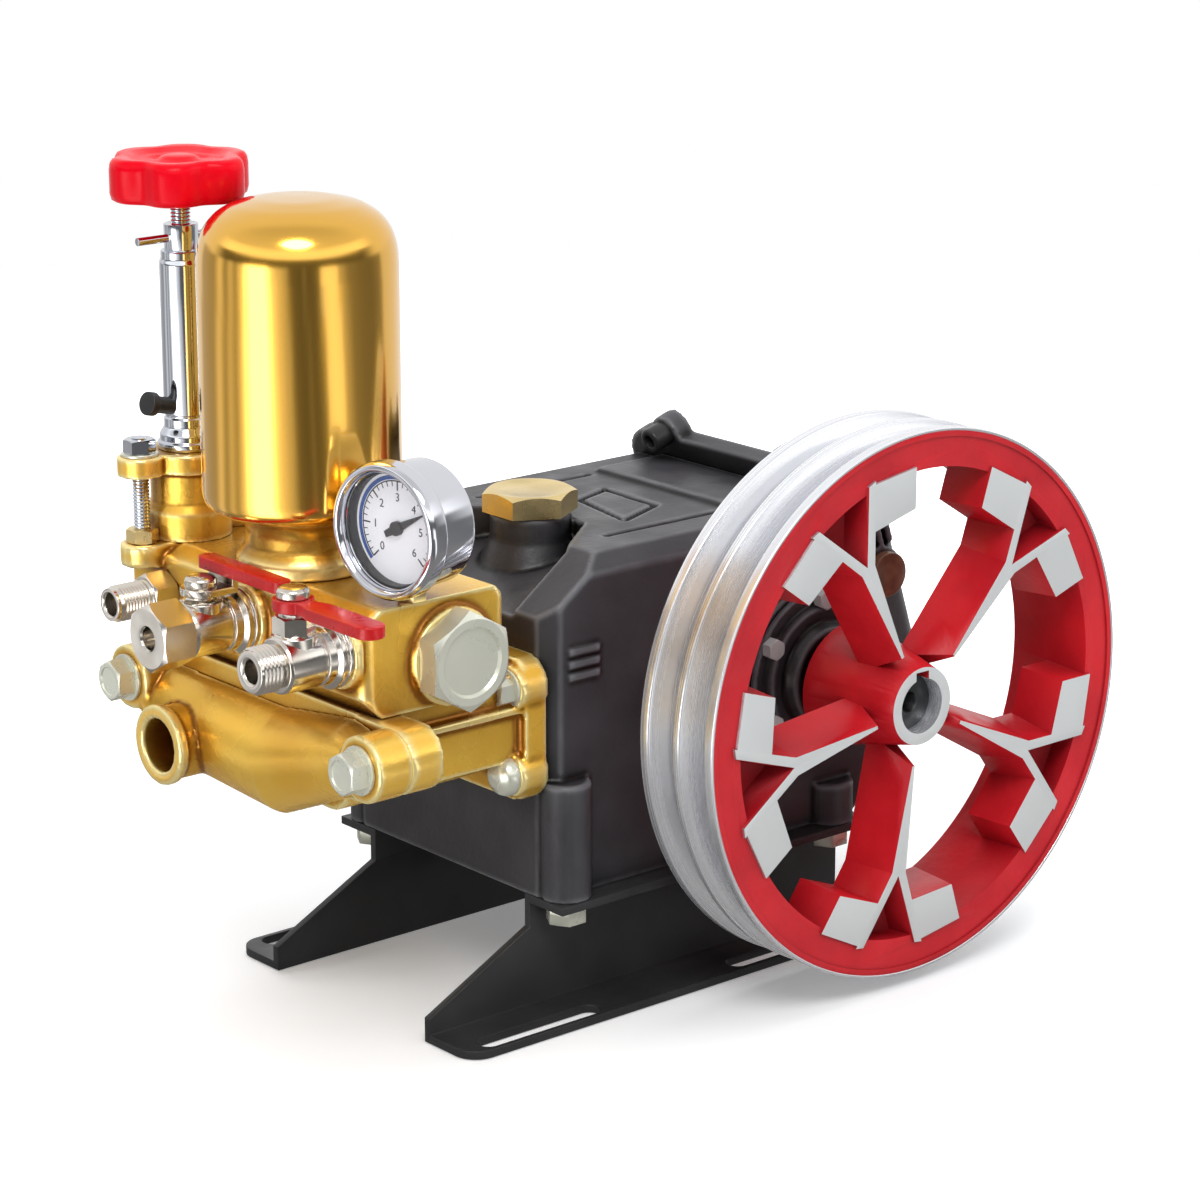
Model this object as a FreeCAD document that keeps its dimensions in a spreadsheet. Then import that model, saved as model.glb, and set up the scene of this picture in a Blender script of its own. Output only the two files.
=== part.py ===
import FreeCAD, Part
import Sketcher
import math
import os

# Three-cylinder high-pressure plunger pump for a belt drive.
# Frame: +Z up from the floor, X along the foot rails with the fluid end at -X,
# Y along the crankshaft with the belt pulley at -Y.
# The origin is on the floor at the centre of the four rail slots.

os.makedirs("parts", exist_ok=True)
doc = FreeCAD.newDocument("plunger_pump")
sheet = doc.addObject("Spreadsheet::Sheet", "Sizes")
Vector = FreeCAD.Vector

SIZES = {
    # foot rails
    "slot_spacing": 116.0,
    "slot_pair": 127.5,
    "slot_length": 54.0,
    "slot_width": 8.5,
    "rail_front": 93.0,
    "rail_rear": 101.0,
    "rail_top_front": 48.0,
    "rail_height": 44.0,
    "rail_sheet": 3.0,
    "rail_web": 46.5,
    "rail_flange": 23.5,
    "rail_top_flange": 18.0,
    "rail_brow": 12.0,
    "rail_toe": 9.0,
    "rail_bolt_radius": 4.0,
    "rail_bolt_flats": 13.0,
    "rail_bolt_head": 6.0,
    "rail_bolt_depth": 10.0,
    # fits used all over the pump
    "running_gap": 0.05,
    "end_gap": 0.3,
    "bolt_gap": 0.3,
    "cut_past": 1.0,
    # crankshaft and its key
    "crank_x": 75.0,
    "crank_height": 105.0,
    "shaft_radius": 10.0,
    "shaft_recess": 6.5,
    "centre_hole_tip": 1.0,
    "centre_hole_radius": 4.0,
    "centre_hole_depth": 8.0,
    "shaft_bury": 20.0,
    "key_width": 6.0,
    "key_rise": 2.5,
    "key_sink": 3.5,
    "key_length": 24.0,
    # belt pulley
    "pulley_radius": 100.0,
    "pulley_face": 115.5,
    "rim_width": 37.0,
    "rim_wall": 14.0,
    "rim_lip": 3.0,
    "lip_rise": 1.0,
    "groove_depth": 10.5,
    "groove_top": 13.0,
    "groove_floor": 6.0,
    "groove_pitch": 16.0,
    "hub_radius": 14.2,
    "hub_root_radius": 23.0,
    "spoke_count": 5,
    "first_spoke": 45.0,
    "spoke_depth": 20.0,
    "spoke_start": 22.0,
    "spoke_root": 14.0,
    "spoke_bite": 2.0,
    "spoke_draft": 4.0,
    "ridge_at_hub": 0.6,
    "ridge_at_fork": 3.4,
    "fork_rise": 25.0,
    "fork_apex": 1.3,
    "prong_width": 3.2,
    "prong_angle": 27.0,
    "web_depth": 10.0,
    "web_bite": 1.0,
    "block_length": 13.5,
    "block_skew": 1.0,
    "block_angle": 23.5,
    "block_draft": 3.0,
    # crankcase
    "case_width": 113.0,
    "case_front": 48.0,
    "case_brow": 41.0,
    "case_rise": 60.0,
    "case_slope_end": 22.0,
    "case_arch": 16.0,
    "arch_front": 12.0,
    "arch_rear": 57.0,
    "arch_run": 6.0,
    "case_pad_end": 99.0,
    "case_shoulder": 6.0,
    "case_corner": 6.0,
    "bay_rear": 2.0,
    "bay_mid": 24.0,
    "bay_rear_width": 34.0,
    "bay_front_width": 76.0,
    "bay_front_drop": 21.0,
    "bay_rear_drop": 9.5,
    "joint_top_x": 84.0,
    "joint_bottom_x": 121.0,
    "joint_drop": 43.0,
    "joint_rise": 70.0,
    "boss_radius": 9.0,
    "boss_x_front": 39.0,
    "boss_x_rear": 88.0,
    "boss_height": 43.0,
    "rear_boss_height": 16.0,
    "house_radius": 34.0,
    "house_out": 4.0,
    "top_band_x": 54.0,
    "top_band_rise": 2.0,
    "top_band_width": 74.0,
    "panel_groove": 2.8,
    "panel_depth": 2.6,
    "panel_near_front_x": 13.5,
    "panel_near_front_y": 26.0,
    "panel_near_rear_x": 39.0,
    "panel_near_rear_y": 15.5,
    "panel_far_rear_x": 40.5,
    "panel_far_rear_y": 17.0,
    "panel_far_front_x": 20.5,
    "panel_far_front_y": 10.0,
    "long_groove_y": 36.0,
    "long_groove_front": 5.0,
    "long_groove_rear": 50.0,
    "side_rib_rise": 1.2,
    "side_rib_count": 3,
    "side_rib_back": 10.0,
    "side_rib_up": 18.0,
    "side_rib_pitch": 4.5,
    "side_rib_length": 13.0,
    "side_rib_thick": 2.0,
    # oil filler
    "neck_x": 9.0,
    "neck_radius": 14.5,
    "neck_rise": 3.0,
    "neck_flare": 4.0,
    "neck_flare_drop": 15.75,
    "cap_flats": 30.0,
    "cap_height": 8.0,
    "cap_spigot_radius": 9.0,
    "cap_spigot_length": 9.0,
    # bearing covers
    "bearing_cover_radius": 32.0,
    "bearing_cover_thick": 5.0,
    "bearing_cover_step": 27.0,
    "bearing_cover_slope": 1.5,
    "seal_boss_radius": 20.0,
    "seal_boss_out": 5.0,
    # rear cover
    "cover_flange": 8.0,
    "cover_corner": 12.0,
    "cover_dome": 27.0,
    "cover_dome_side": 6.5,
    "cover_dome_end": 20.0,
    "cover_dome_draft": 10.0,
    "cover_dome_round": 9.0,
    "cover_ear_radius": 7.5,
    "cover_ear_y": 33.0,
    "cover_rib_count": 4,
    "cover_rib_pitch": 4.6,
    "cover_rib_start": 3.0,
    "cover_rib_top": 26.0,
    "cover_rib_thick": 2.2,
    "cover_rib_proud": 2.5,
    "cover_rib_length": 15.0,
    "sight_radius": 8.5,
    "sight_spigot_radius": 6.0,
    "sight_seat_lip": 1.5,
    "sight_out": 4.0,
    "sight_down": 50.0,
    "sight_depth": 10.0,
    # cylinder block
    "block_flange_thick": 9.0,
    "block_flange_width": 112.0,
    "block_flange_up": 28.0,
    "block_flange_down": 23.0,
    "block_flange_corner": 7.0,
    "block_front": 126.0,
    "block_width": 104.0,
    "block_up": 23.0,
    "block_down": 8.0,
    "flange_boss_radius": 8.0,
    "flange_boss_inset": 6.0,
    "flange_boss_up": 18.0,
    "flange_boss_down": 13.0,
    "block_rib": 3.0,
    "flange_boss_proud": 3.0,
    "plunger_pitch": 34.0,
    "cylinder_radius": 15.0,
    "near_tie_y": 71.5,
    "far_tie_y": 64.5,
    "tie_up": 11.3,
    "tie_radius": 5.0,
    "tie_ear_radius": 11.5,
    "tie_ear_thick": 13.0,
    "tie_flats": 13.0,
    "tie_head": 8.0,
    # suction manifold
    "suction_reach": 13.5,
    "suction_far_radius": 18.5,
    "suction_far_down": 1.0,
    "suction_near_radius": 13.5,
    "suction_near_up": 8.0,
    "suction_mid_y": 12.0,
    "suction_mid_radius": 20.0,
    "suction_mid_down": 3.0,
    "suction_mid_proud": 1.5,
    "suction_span": 104.0,
    "port_y": 33.5,
    "port_down": 4.5,
    "port_radius": 13.0,
    "port_lip": 1.2,
    "port_ring_width": 3.6,
    "port_bore": 9.5,
    "port_depth": 18.0,
    "port_face": 148.5,
    # discharge chest
    "chest_front": 130.0,
    "chest_rear": 70.0,
    "chest_near": 62.0,
    "chest_far": 76.0,
    "chest_height": 37.0,
    "chest_bevel": 7.0,
    "chest_round": 4.0,
    "gallery_x": 94.0,
    "gallery_up": 16.5,
    "gallery_radius": 17.0,
    "gallery_boss": 3.0,
    "plug_flats": 30.5,
    "plug_head": 9.0,
    "plug_spigot_radius": 11.0,
    "plug_spigot_length": 10.0,
    # air chamber
    "chamber_x": 108.5,
    "chamber_radius": 34.0,
    "chamber_lift": 21.0,
    "chamber_length": 106.0,
    "chamber_dome": 17.0,
    "chamber_foot_round": 6.0,
    "chamber_foot_radius": 23.0,
    "chamber_waist_radius": 19.5,
    "chamber_seat_radius": 26.0,
    "chamber_foot_thick": 5.0,
    # pressure gauge
    "gauge_x": 106.5,
    "gauge_y": 57.5,
    "gauge_up": 25.5,
    "gauge_turn": 9.0,
    "gauge_radius": 21.2,
    "gauge_depth": 22.0,
    "gauge_wall": 1.5,
    "bezel_radius": 23.2,
    "bezel_width": 8.0,
    "bezel_lip": 3.7,
    "bezel_lap": 5.0,
    "dial_back": 6.0,
    "dial_thick": 1.0,
    "glass_thick": 1.6,
    "glass_front": 1.4,
    "needle_thick": 0.8,
    "needle_length": 15.0,
    "needle_tail": 6.0,
    "needle_hub": 2.4,
    "needle_waist": 1.6,
    "needle_stub": 1.1,
    "needle_angle": 62.0,
    "stem_flats": 9.0,
    "stem_nut": 3.0,
    "stem_bite": 2.0,
    "stem_radius": 4.0,
    # pressure regulator
    "regulator_x": 113.0,
    "regulator_y": 62.0,
    "regulator_foot_radius": 15.0,
    "regulator_waist_radius": 13.5,
    "regulator_height": 24.0,
    "regulator_plate": 7.0,
    "regulator_reach": 20.0,
    "regulator_lobe": 8.0,
    "tube_base_radius": 10.5,
    "tube_base_height": 8.0,
    "tube_radius": 8.0,
    "tube_length": 70.0,
    "screw_radius": 3.5,
    "screw_sink": 28.0,
    "lock_nut_radius": 6.0,
    "lock_nut_height": 9.0,
    "tommy_radius": 1.4,
    "tommy_front": 18.0,
    "tommy_rear": 12.0,
    "knob_lift": 18.0,
    "knob_thick": 15.0,
    "knob_radius": 25.0,
    "knob_lobes": 6,
    "knob_turn": 20.0,
    "knob_scallop_radius": 9.0,
    "knob_scallop_depth": 3.6,
    "knob_round": 1.5,
    "clamp_rod_radius": 3.0,
    "clamp_nut_flats": 10.0,
    "clamp_nut_height": 6.0,
    "clamp_lug_height": 8.0,
    # outlet cocks
    "near_cock_y": 50.0,
    "far_cock_y": 3.0,
    "cock_up": 22.0,
    "cock_pivot_x": 149.0,
    "cock_body_end": 157.0,
    "near_cock_tip": 167.0,
    "far_cock_tip": 158.0,
    "cock_body_radius": 9.5,
    "cock_spout_radius": 8.0,
    "cock_collar_radius": 11.5,
    "cock_collar_width": 5.0,
    "cock_bore": 4.0,
    "cock_tower_radius": 7.0,
    "near_tower_top": 2.5,
    "far_tower_drop": 3.5,
    "far_nut_flats": 21.0,
    "far_nut_length": 13.0,
    "outlet_boss": 3.0,
    "outlet_boss_lip": 1.0,
    "lever_thick": 4.0,
    "lever_root_width": 7.0,
    "lever_grip_width": 10.0,
    "lever_grip_start": 14.0,
    "near_lever_length": 41.0,
    "far_lever_length": 36.0,
    "far_lever_tail": 5.0,
    "far_lever_aside": 7.0,
    "far_lever_width": 7.0,
    "far_lever_step": 7.0,
    "lever_strap": 2.5,
    "lever_cap_radius": 5.5,
    "lever_cap_height": 4.0,
    "lever_pin_radius": 2.5,
    "lever_pin_depth": 8.0,
    # bypass outlet
    "bypass_y": 52.0,
    "bypass_up": 20.0,
    "bypass_length": 24.0,
    "bypass_radius": 6.5,
    "bypass_nut_flats": 15.0,
    "bypass_nut_length": 10.0,
}

for row, (alias, value) in enumerate(SIZES.items(), start=1):
    sheet.set(f"A{row}", alias)
    sheet.set(f"B{row}", str(value))
    sheet.setAlias(f"B{row}", alias)
doc.recompute()


class Size:
    """A length or angle: its number now and the sheet formula it comes from."""

    def __init__(self, value, text):
        self.value = value
        self.text = text

    def _join(self, other, sign, value):
        return Size(value, f"({self.text} {sign} {text_of(other)})")

    def __add__(self, other):
        return self._join(other, "+", self.value + number(other))

    def __sub__(self, other):
        return self._join(other, "-", self.value - number(other))

    def __mul__(self, other):
        return self._join(other, "*", self.value * number(other))

    def __truediv__(self, other):
        return self._join(other, "/", self.value / number(other))

    def __neg__(self):
        return Size(-self.value, f"(-1 * {self.text})")

    def __radd__(self, other):
        return Size(number(other) + self.value, f"({text_of(other)} + {self.text})")

    def __rsub__(self, other):
        return Size(number(other) - self.value, f"({text_of(other)} - {self.text})")

    def __rmul__(self, other):
        return Size(number(other) * self.value, f"({text_of(other)} * {self.text})")


def number(size):
    return size.value if isinstance(size, Size) else float(size)


def text_of(size):
    return size.text if isinstance(size, Size) else repr(float(size))


def angle_of(name, function, size, degrees):
    """A sine, cosine or tangent of an angle in degrees, as a value with its formula."""
    return Size(function(math.radians(degrees)), f"{name}({size.text} * 1deg)")


def tangent(size):
    return angle_of("tan", math.tan, size, size.value)


def sine(size):
    return angle_of("sin", math.sin, size, size.value)


def cosine(size):
    return angle_of("cos", math.cos, size, size.value)


class Sheet:
    """Each driving dimension by its name."""

    def __getattr__(self, alias):
        return Size(SIZES[alias], f"Sizes.{alias}")


S = Sheet()
AXES = {
    "X": Vector(1, 0, 0),
    "-X": Vector(-1, 0, 0),
    "Y": Vector(0, 1, 0),
    "-Y": Vector(0, -1, 0),
    "Z": Vector(0, 0, 1),
    "-Z": Vector(0, 0, -1),
}
NODES = []
SIDES = {"near": -1, "far": 1}
OUTWARD = {"near": "-Y", "far": "Y"}
INWARD = {"near": "Y", "far": "-Y"}

# Heights that several sub-parts share.
CASE_TOP = S.crank_height + S.case_rise
JOINT_TOP_Z = S.crank_height + S.joint_rise
JOINT_BOTTOM_Z = S.crank_height - S.joint_drop
BLOCK_TOP = S.crank_height + S.block_up
TIE_Z = S.crank_height + S.tie_up
CHEST_TOP = BLOCK_TOP + S.chest_height
CHAMBER_BOTTOM = CHEST_TOP + S.chamber_lift
COCK_Z = BLOCK_TOP + S.cock_up


def along(direction):
    """The rotation that turns +Z to a named axis or a vector."""
    target = AXES[direction] if isinstance(direction, str) else direction
    return FreeCAD.Rotation(Vector(0, 0, 1), target)


def bind(item, **sizes):
    for name, size in sizes.items():
        setattr(item, name, number(size))
        if isinstance(size, Size):
            item.setExpression(name, size.text)


def place(item, at, turn=None):
    base = Vector(*[number(value) for value in at])
    item.Placement = FreeCAD.Placement(base, turn or FreeCAD.Rotation())
    for letter, value in zip("xyz", at):
        if isinstance(value, Size):
            item.setExpression(f"Placement.Base.{letter}", value.text)


def box(name, low, size, turn=None):
    item = doc.addObject("Part::Box", name)
    bind(item, Length=size[0], Width=size[1], Height=size[2])
    place(item, low, turn)
    return item


def rod(name, radius, length, at, direction="Z"):
    item = doc.addObject("Part::Cylinder", name)
    bind(item, Radius=radius, Height=length)
    place(item, at, along(direction))
    return item


def cone(name, low_radius, high_radius, length, at, direction="Z"):
    item = doc.addObject("Part::Cone", name)
    bind(item, Radius1=low_radius, Radius2=high_radius, Height=length)
    place(item, at, along(direction))
    return item


def prism(name, flats, length, at, direction="Z", spin=0.0):
    """A hexagon bar, sized across its flats."""
    item = doc.addObject("Part::Prism", name)
    item.Polygon = 6
    bind(item, Circumradius=flats * (1 / math.sqrt(3)), Height=length)
    turn = along(direction).multiply(FreeCAD.Rotation(Vector(0, 0, 1), spin))
    place(item, at, turn)
    return item


def union(name, pieces):
    item = doc.addObject("Part::MultiFuse", name)
    item.Shapes = pieces
    item.Refine = True
    return item


def less(name, base, tools):
    item = doc.addObject("Part::Cut", name)
    item.Base = base
    item.Tool = tools[0] if len(tools) == 1 else union(name + "_tools", tools)
    item.Refine = True
    return item


def rounded(name, base, radius, wanted):
    """Round the edges for which wanted(edge) is true."""
    doc.recompute()
    chosen = [index for index, edge in enumerate(base.Shape.Edges, start=1) if wanted(edge)]
    item = doc.addObject("Part::Fillet", name)
    item.Base = base
    item.Edges = [(index, number(radius), number(radius)) for index in chosen]
    return item


def node(item, label):
    """Name a finished sub-part, which becomes one file."""
    item.Label = label
    NODES.append(item)
    return item


def together(label, pieces):
    """Like pieces that don't touch, kept in one node."""
    item = doc.addObject("Part::Compound", label)
    item.Links = pieces
    node(item, label)


def runs_along(edge, axis):
    """True for a straight edge parallel to a row axis."""
    if not isinstance(edge.Curve, Part.Line):
        return False
    return abs(edge.Curve.Direction.dot(AXES[axis])) > 0.999


def new_body(name):
    return doc.addObject("PartDesign::Body", name)


def own_plane(body, role):
    return [feature for feature in body.Origin.OriginFeatures if feature.Role == role][0]


def flat_sketch(body, name, role, points, offset=None, island=None):
    """A closed outline on one of the body's own planes, with bound corners."""
    sketch = body.newObject("Sketcher::SketchObject", name)
    sketch.AttachmentSupport = [(own_plane(body, role), "")]
    sketch.MapMode = "FlatFace"
    if offset is not None:
        sketch.AttachmentOffset = FreeCAD.Placement(Vector(0, 0, number(offset)), FreeCAD.Rotation())
        if isinstance(offset, Size):
            sketch.setExpression("AttachmentOffset.Base.z", offset.text)
    add_outline(sketch, points)
    if island:
        add_outline(sketch, island)
    return sketch


def add_outline(sketch, points):
    corners = [Vector(number(across), number(up), 0) for across, up in points]
    count = len(corners)
    first = sketch.GeometryCount
    for index in range(count):
        sketch.addGeometry(Part.LineSegment(corners[index], corners[(index + 1) % count]), False)
    for index in range(count):
        following = first + (index + 1) % count
        sketch.addConstraint(Sketcher.Constraint("Coincident", first + index, 2, following, 1))
    for index, corner in enumerate(points):
        for kind, size in zip(("DistanceX", "DistanceY"), corner):
            added = sketch.addConstraint(Sketcher.Constraint(kind, -1, 1, first + index, 1, number(size)))
            if isinstance(size, Size):
                sketch.setExpression(f"Constraints[{added}]", size.text)


def pad(body, name, sketch, length, both=False, back=False, draft=None):
    item = body.newObject("PartDesign::Pad", name)
    item.Profile = sketch
    bind(item, Length=length)
    item.Midplane = both
    item.Reversed = back
    if draft is not None:
        bind(item, TaperAngle=draft)
    return item


def pocket(body, name, sketch, length, back=False):
    item = body.newObject("PartDesign::Pocket", name)
    item.Profile = sketch
    bind(item, Length=length)
    item.Reversed = back
    return item


def turned(body, name, sketch):
    """A solid of revolution about the sketch's own upright axis."""
    item = body.newObject("PartDesign::Revolution", name)
    item.Profile = sketch
    item.ReferenceAxis = (sketch, ["V_Axis"])
    item.Angle = 360.0
    return item


def soften(body, name, kind, wanted, **sizes):
    """A fillet or chamfer on the body's present edges for which wanted(edge) is true."""
    doc.recompute()
    base = body.Tip
    chosen = [f"Edge{index}" for index, edge in enumerate(base.Shape.Edges, start=1) if wanted(edge)]
    item = body.newObject("PartDesign::" + kind, name)
    item.Base = (base, chosen)
    bind(item, **sizes)
    body.Tip = item
    doc.recompute()
    return item


def lathe(name, profile, at, turn=None):
    """A turned piece: (radius, height) pairs about its own upright axis."""
    body = new_body(name)
    turned(body, name + "_turn", flat_sketch(body, name + "_profile", "XZ_Plane", profile))
    place(body, at, turn)
    return body


# Foot rails


def make_rail(side_name):
    """A folded sheet foot: upright web, floor flange with two slots, top flange."""
    side = SIDES[side_name]
    web = new_body(side_name + "_web")
    outline = [
        (-S.rail_front, 0),
        (S.rail_rear, 0),
        (S.rail_rear, S.rail_height),
        (-S.rail_top_front, S.rail_height),
        (-S.rail_top_front, S.rail_height - S.rail_brow),
        (-S.rail_front, S.rail_toe),
    ]
    sketch = flat_sketch(web, side_name + "_web_outline", "XZ_Plane", outline)
    pad(web, side_name + "_web_pad", sketch, S.rail_sheet, back=side > 0)
    place(web, (0, side * (S.rail_web - S.rail_sheet), 0))
    low_y = S.rail_web if side > 0 else -S.rail_web - S.rail_flange
    floor = box(side_name + "_floor_flange", (-S.rail_front, low_y, 0),
                (S.rail_front + S.rail_rear, S.rail_flange, S.rail_sheet))
    top_y = S.rail_web if side > 0 else -S.rail_web - S.rail_top_flange
    top = box(side_name + "_top_flange", (-S.rail_top_front, top_y, S.rail_height - S.rail_sheet),
              (S.rail_top_front + S.rail_rear, S.rail_top_flange, S.rail_sheet))
    folded = union(side_name + "_folded", [web, floor, top])
    shaped = rounded(side_name + "_rounded", folded, S.rail_toe, lambda edge: is_toe_corner(edge, side))
    cuts = []
    past = S.rail_sheet + S.cut_past * 2
    for end, sign, boss_x in (("front", -1, -S.boss_x_front), ("rear", 1, S.boss_x_rear)):
        centre = sign * S.slot_spacing * 0.5
        straight = S.slot_length - S.slot_width
        slot_y = side * S.slot_pair * 0.5
        name = f"{side_name}_{end}_slot"
        cuts.append(box(name, (centre - straight * 0.5, slot_y - S.slot_width * 0.5, -S.cut_past),
                        (straight, S.slot_width, past)))
        for tip, tip_sign in (("a", -1), ("b", 1)):
            at = (centre + tip_sign * straight * 0.5, slot_y, -S.cut_past)
            cuts.append(rod(name + tip, S.slot_width * 0.5, past, at))
        at = (boss_x, side * boss_y(), S.rail_height - S.rail_sheet - S.cut_past)
        cuts.append(rod(f"{side_name}_{end}_bolt_hole", S.rail_bolt_radius + S.bolt_gap, past, at))
    node(less(side_name + "_rail", shaped, cuts), side_name + "_rail")


def is_toe_corner(edge, side):
    """The upright outer corners of the floor flange."""
    if not runs_along(edge, "Z"):
        return False
    middle = edge.CenterOfMass
    outer = S.rail_web.value + S.rail_flange.value
    return abs(middle.y - side * outer) < 0.1 and middle.z < S.rail_sheet.value


def boss_y():
    """The four foot bosses stand over the middle of the rails' top flanges."""
    return S.rail_web + S.rail_top_flange * 0.5


def foot_bolts():
    """Name, X and Y of each of the four screws."""
    for side_name, side in SIDES.items():
        for end, boss_x in (("front", -S.boss_x_front), ("rear", S.boss_x_rear)):
            yield f"{side_name}_{end}", boss_x, side * boss_y()


def make_rail_bolts():
    """Four screws that hold the rails up to the crankcase bosses."""
    bolts = []
    low = S.rail_height - S.rail_sheet
    for name, bolt_x, bolt_y in foot_bolts():
        head = prism(name + "_head", S.rail_bolt_flats, S.rail_bolt_head,
                     (bolt_x, bolt_y, low - S.rail_bolt_head))
        shank = rod(name + "_shank", S.rail_bolt_radius, S.rail_sheet + S.rail_bolt_depth,
                    (bolt_x, bolt_y, low))
        bolts.append(union(name + "_rail_bolt", [head, shank]))
    together("rail_bolts", bolts)


# Crankcase and its covers


def joint_frame():
    """Where the rear cover meets the crankcase: its length and its tilt."""
    run = S.joint_bottom_x - S.joint_top_x
    fall = JOINT_TOP_Z - JOINT_BOTTOM_Z
    length = Size(math.hypot(run.value, fall.value), f"sqrt({run.text} ^ 2 + {fall.text} ^ 2)")
    tilt = Size(math.degrees(math.atan2(fall.value, run.value)), f"atan({fall.text} / {run.text})")
    return length, tilt


def joint_slope():
    return (S.joint_bottom_x - S.joint_top_x) / (JOINT_TOP_Z - JOINT_BOTTOM_Z)


def make_crankcase():
    """The main casting: sloping brow, shouldered top, arched foot and four boss columns."""
    body = new_body("case_body")
    rear_top_x = S.joint_top_x + joint_slope() * (JOINT_TOP_Z - CASE_TOP)
    brow_z = S.crank_height + S.case_brow
    outline = [
        (-S.case_front, S.rail_height),
        (S.arch_front, S.rail_height),
        (S.arch_front + S.arch_run, S.rail_height + S.case_arch),
        (S.arch_rear - S.arch_run, S.rail_height + S.case_arch),
        (S.arch_rear, S.rail_height),
        (S.case_pad_end, S.rail_height),
        (S.joint_bottom_x, JOINT_BOTTOM_Z),
        (rear_top_x, CASE_TOP),
        (-S.case_slope_end, CASE_TOP),
        (-S.case_front, brow_z),
    ]
    pad(body, "case_pad", flat_sketch(body, "case_outline", "XZ_Plane", outline), S.case_width, both=True)
    soften(body, "case_shoulders", "Chamfer",
           lambda edge: runs_along(edge, "X") and abs(edge.CenterOfMass.z - CASE_TOP.value) < 0.1,
           Size=S.case_shoulder)
    soften(body, "case_front_corners", "Chamfer",
           lambda edge: runs_along(edge, "Z") and abs(edge.CenterOfMass.x + S.case_front.value) < 0.1,
           Size=S.case_corner)
    cut_top_panel(body)
    pieces = [body]
    for name, boss_x, foot_y in foot_bolts():
        tall = S.boss_height if "front" in name else S.rear_boss_height
        pieces.append(rod(name + "_boss", S.boss_radius, tall, (boss_x, foot_y, S.rail_height)))
    for side_name, side in SIDES.items():
        inner = S.case_width * 0.5 - S.house_out
        pieces.append(rod(side_name + "_bearing_house", S.house_radius, S.house_out * 2,
                          (S.crank_x, side * inner, S.crank_height), OUTWARD[side_name]))
        pieces += side_ribs(side_name, side)
    band_length = rear_top_x - S.top_band_x - joint_slope() * S.top_band_rise
    pieces.append(box("top_band", (S.top_band_x, -S.top_band_width * 0.5, CASE_TOP - S.cut_past),
                      (band_length, S.top_band_width, S.top_band_rise + S.cut_past)))
    bayed = less("case_bayed", union("case_blank", pieces), [neck_bay()])
    neck_foot = S.bay_front_drop
    neck = rod("oil_neck", S.neck_radius, S.neck_rise + neck_foot, (-S.neck_x, 0, CASE_TOP - neck_foot))
    neck_base = cone("oil_neck_base", S.neck_radius + S.neck_flare, S.neck_radius, S.bay_rear_drop,
                     (-S.neck_x, 0, CASE_TOP - S.neck_flare_drop))
    bore_depth = S.cap_spigot_length + S.end_gap
    cuts = [house_trim(), rod("neck_bore", S.cap_spigot_radius + S.bolt_gap, bore_depth + S.cut_past,
                              (-S.neck_x, 0, CASE_TOP + S.neck_rise - bore_depth))]
    for name, boss_x, foot_y in foot_bolts():
        cuts.append(rod(name + "_tapping", S.rail_bolt_radius + S.bolt_gap,
                        S.rail_bolt_depth + S.end_gap + S.cut_past, (boss_x, foot_y, S.rail_height - S.cut_past)))
    cuts.append(rod("bearing_bore", S.shaft_radius + S.running_gap, S.shaft_bury + S.house_out + S.cut_past,
                    (S.crank_x, S.shaft_bury - S.case_width * 0.5, S.crank_height), "-Y"))
    node(less("crankcase", union("case_solid", [bayed, neck, neck_base]), cuts), "crankcase")


def neck_bay():
    """The sunk bay round the oil neck: open to the front, narrowing to the rear, with a sloping floor."""
    ahead = S.case_front + S.case_corner * 2
    plan = new_body("bay_plan_body")
    outline = [
        (-ahead, -S.bay_front_width * 0.5), (-S.bay_mid, -S.bay_front_width * 0.5),
        (S.bay_rear, -S.bay_rear_width * 0.5), (S.bay_rear, S.bay_rear_width * 0.5),
        (-S.bay_mid, S.bay_front_width * 0.5), (-ahead, S.bay_front_width * 0.5),
    ]
    sketch = flat_sketch(plan, "bay_plan", "XY_Plane", outline, CASE_TOP - S.bay_front_drop * 2)
    pad(plan, "bay_plan_pad", sketch, S.bay_front_drop * 3)
    wedge = new_body("bay_wedge_body")
    fall = (S.bay_front_drop - S.bay_rear_drop) / (S.case_front + S.bay_rear)
    profile = [
        (-ahead, CASE_TOP - S.bay_front_drop - fall * S.case_corner * 2),
        (S.bay_rear + S.cut_past, CASE_TOP - S.bay_rear_drop + fall * S.cut_past),
        (S.bay_rear + S.cut_past, CASE_TOP + S.bay_rear_drop),
        (-ahead, CASE_TOP + S.bay_rear_drop),
    ]
    pad(wedge, "bay_wedge_pad", flat_sketch(wedge, "bay_wedge", "XZ_Plane", profile), S.case_width, both=True)
    bay = doc.addObject("Part::MultiCommon", "neck_bay")
    bay.Shapes = [plan, wedge]
    return bay


def house_trim():
    """What lies behind the slanting rear joint."""
    body = new_body("trim_body")
    run = joint_slope()
    past = S.house_radius
    profile = [
        (S.joint_top_x - run * past, JOINT_TOP_Z + past),
        (S.joint_bottom_x + run * past, JOINT_BOTTOM_Z - past),
        (S.joint_bottom_x + run * past + past, JOINT_BOTTOM_Z - past),
        (S.joint_bottom_x + run * past + past, JOINT_TOP_Z + past),
    ]
    sketch = flat_sketch(body, "trim_outline", "XZ_Plane", profile)
    pad(body, "trim_pad", sketch, S.case_width + S.house_radius, both=True)
    return body


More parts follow.
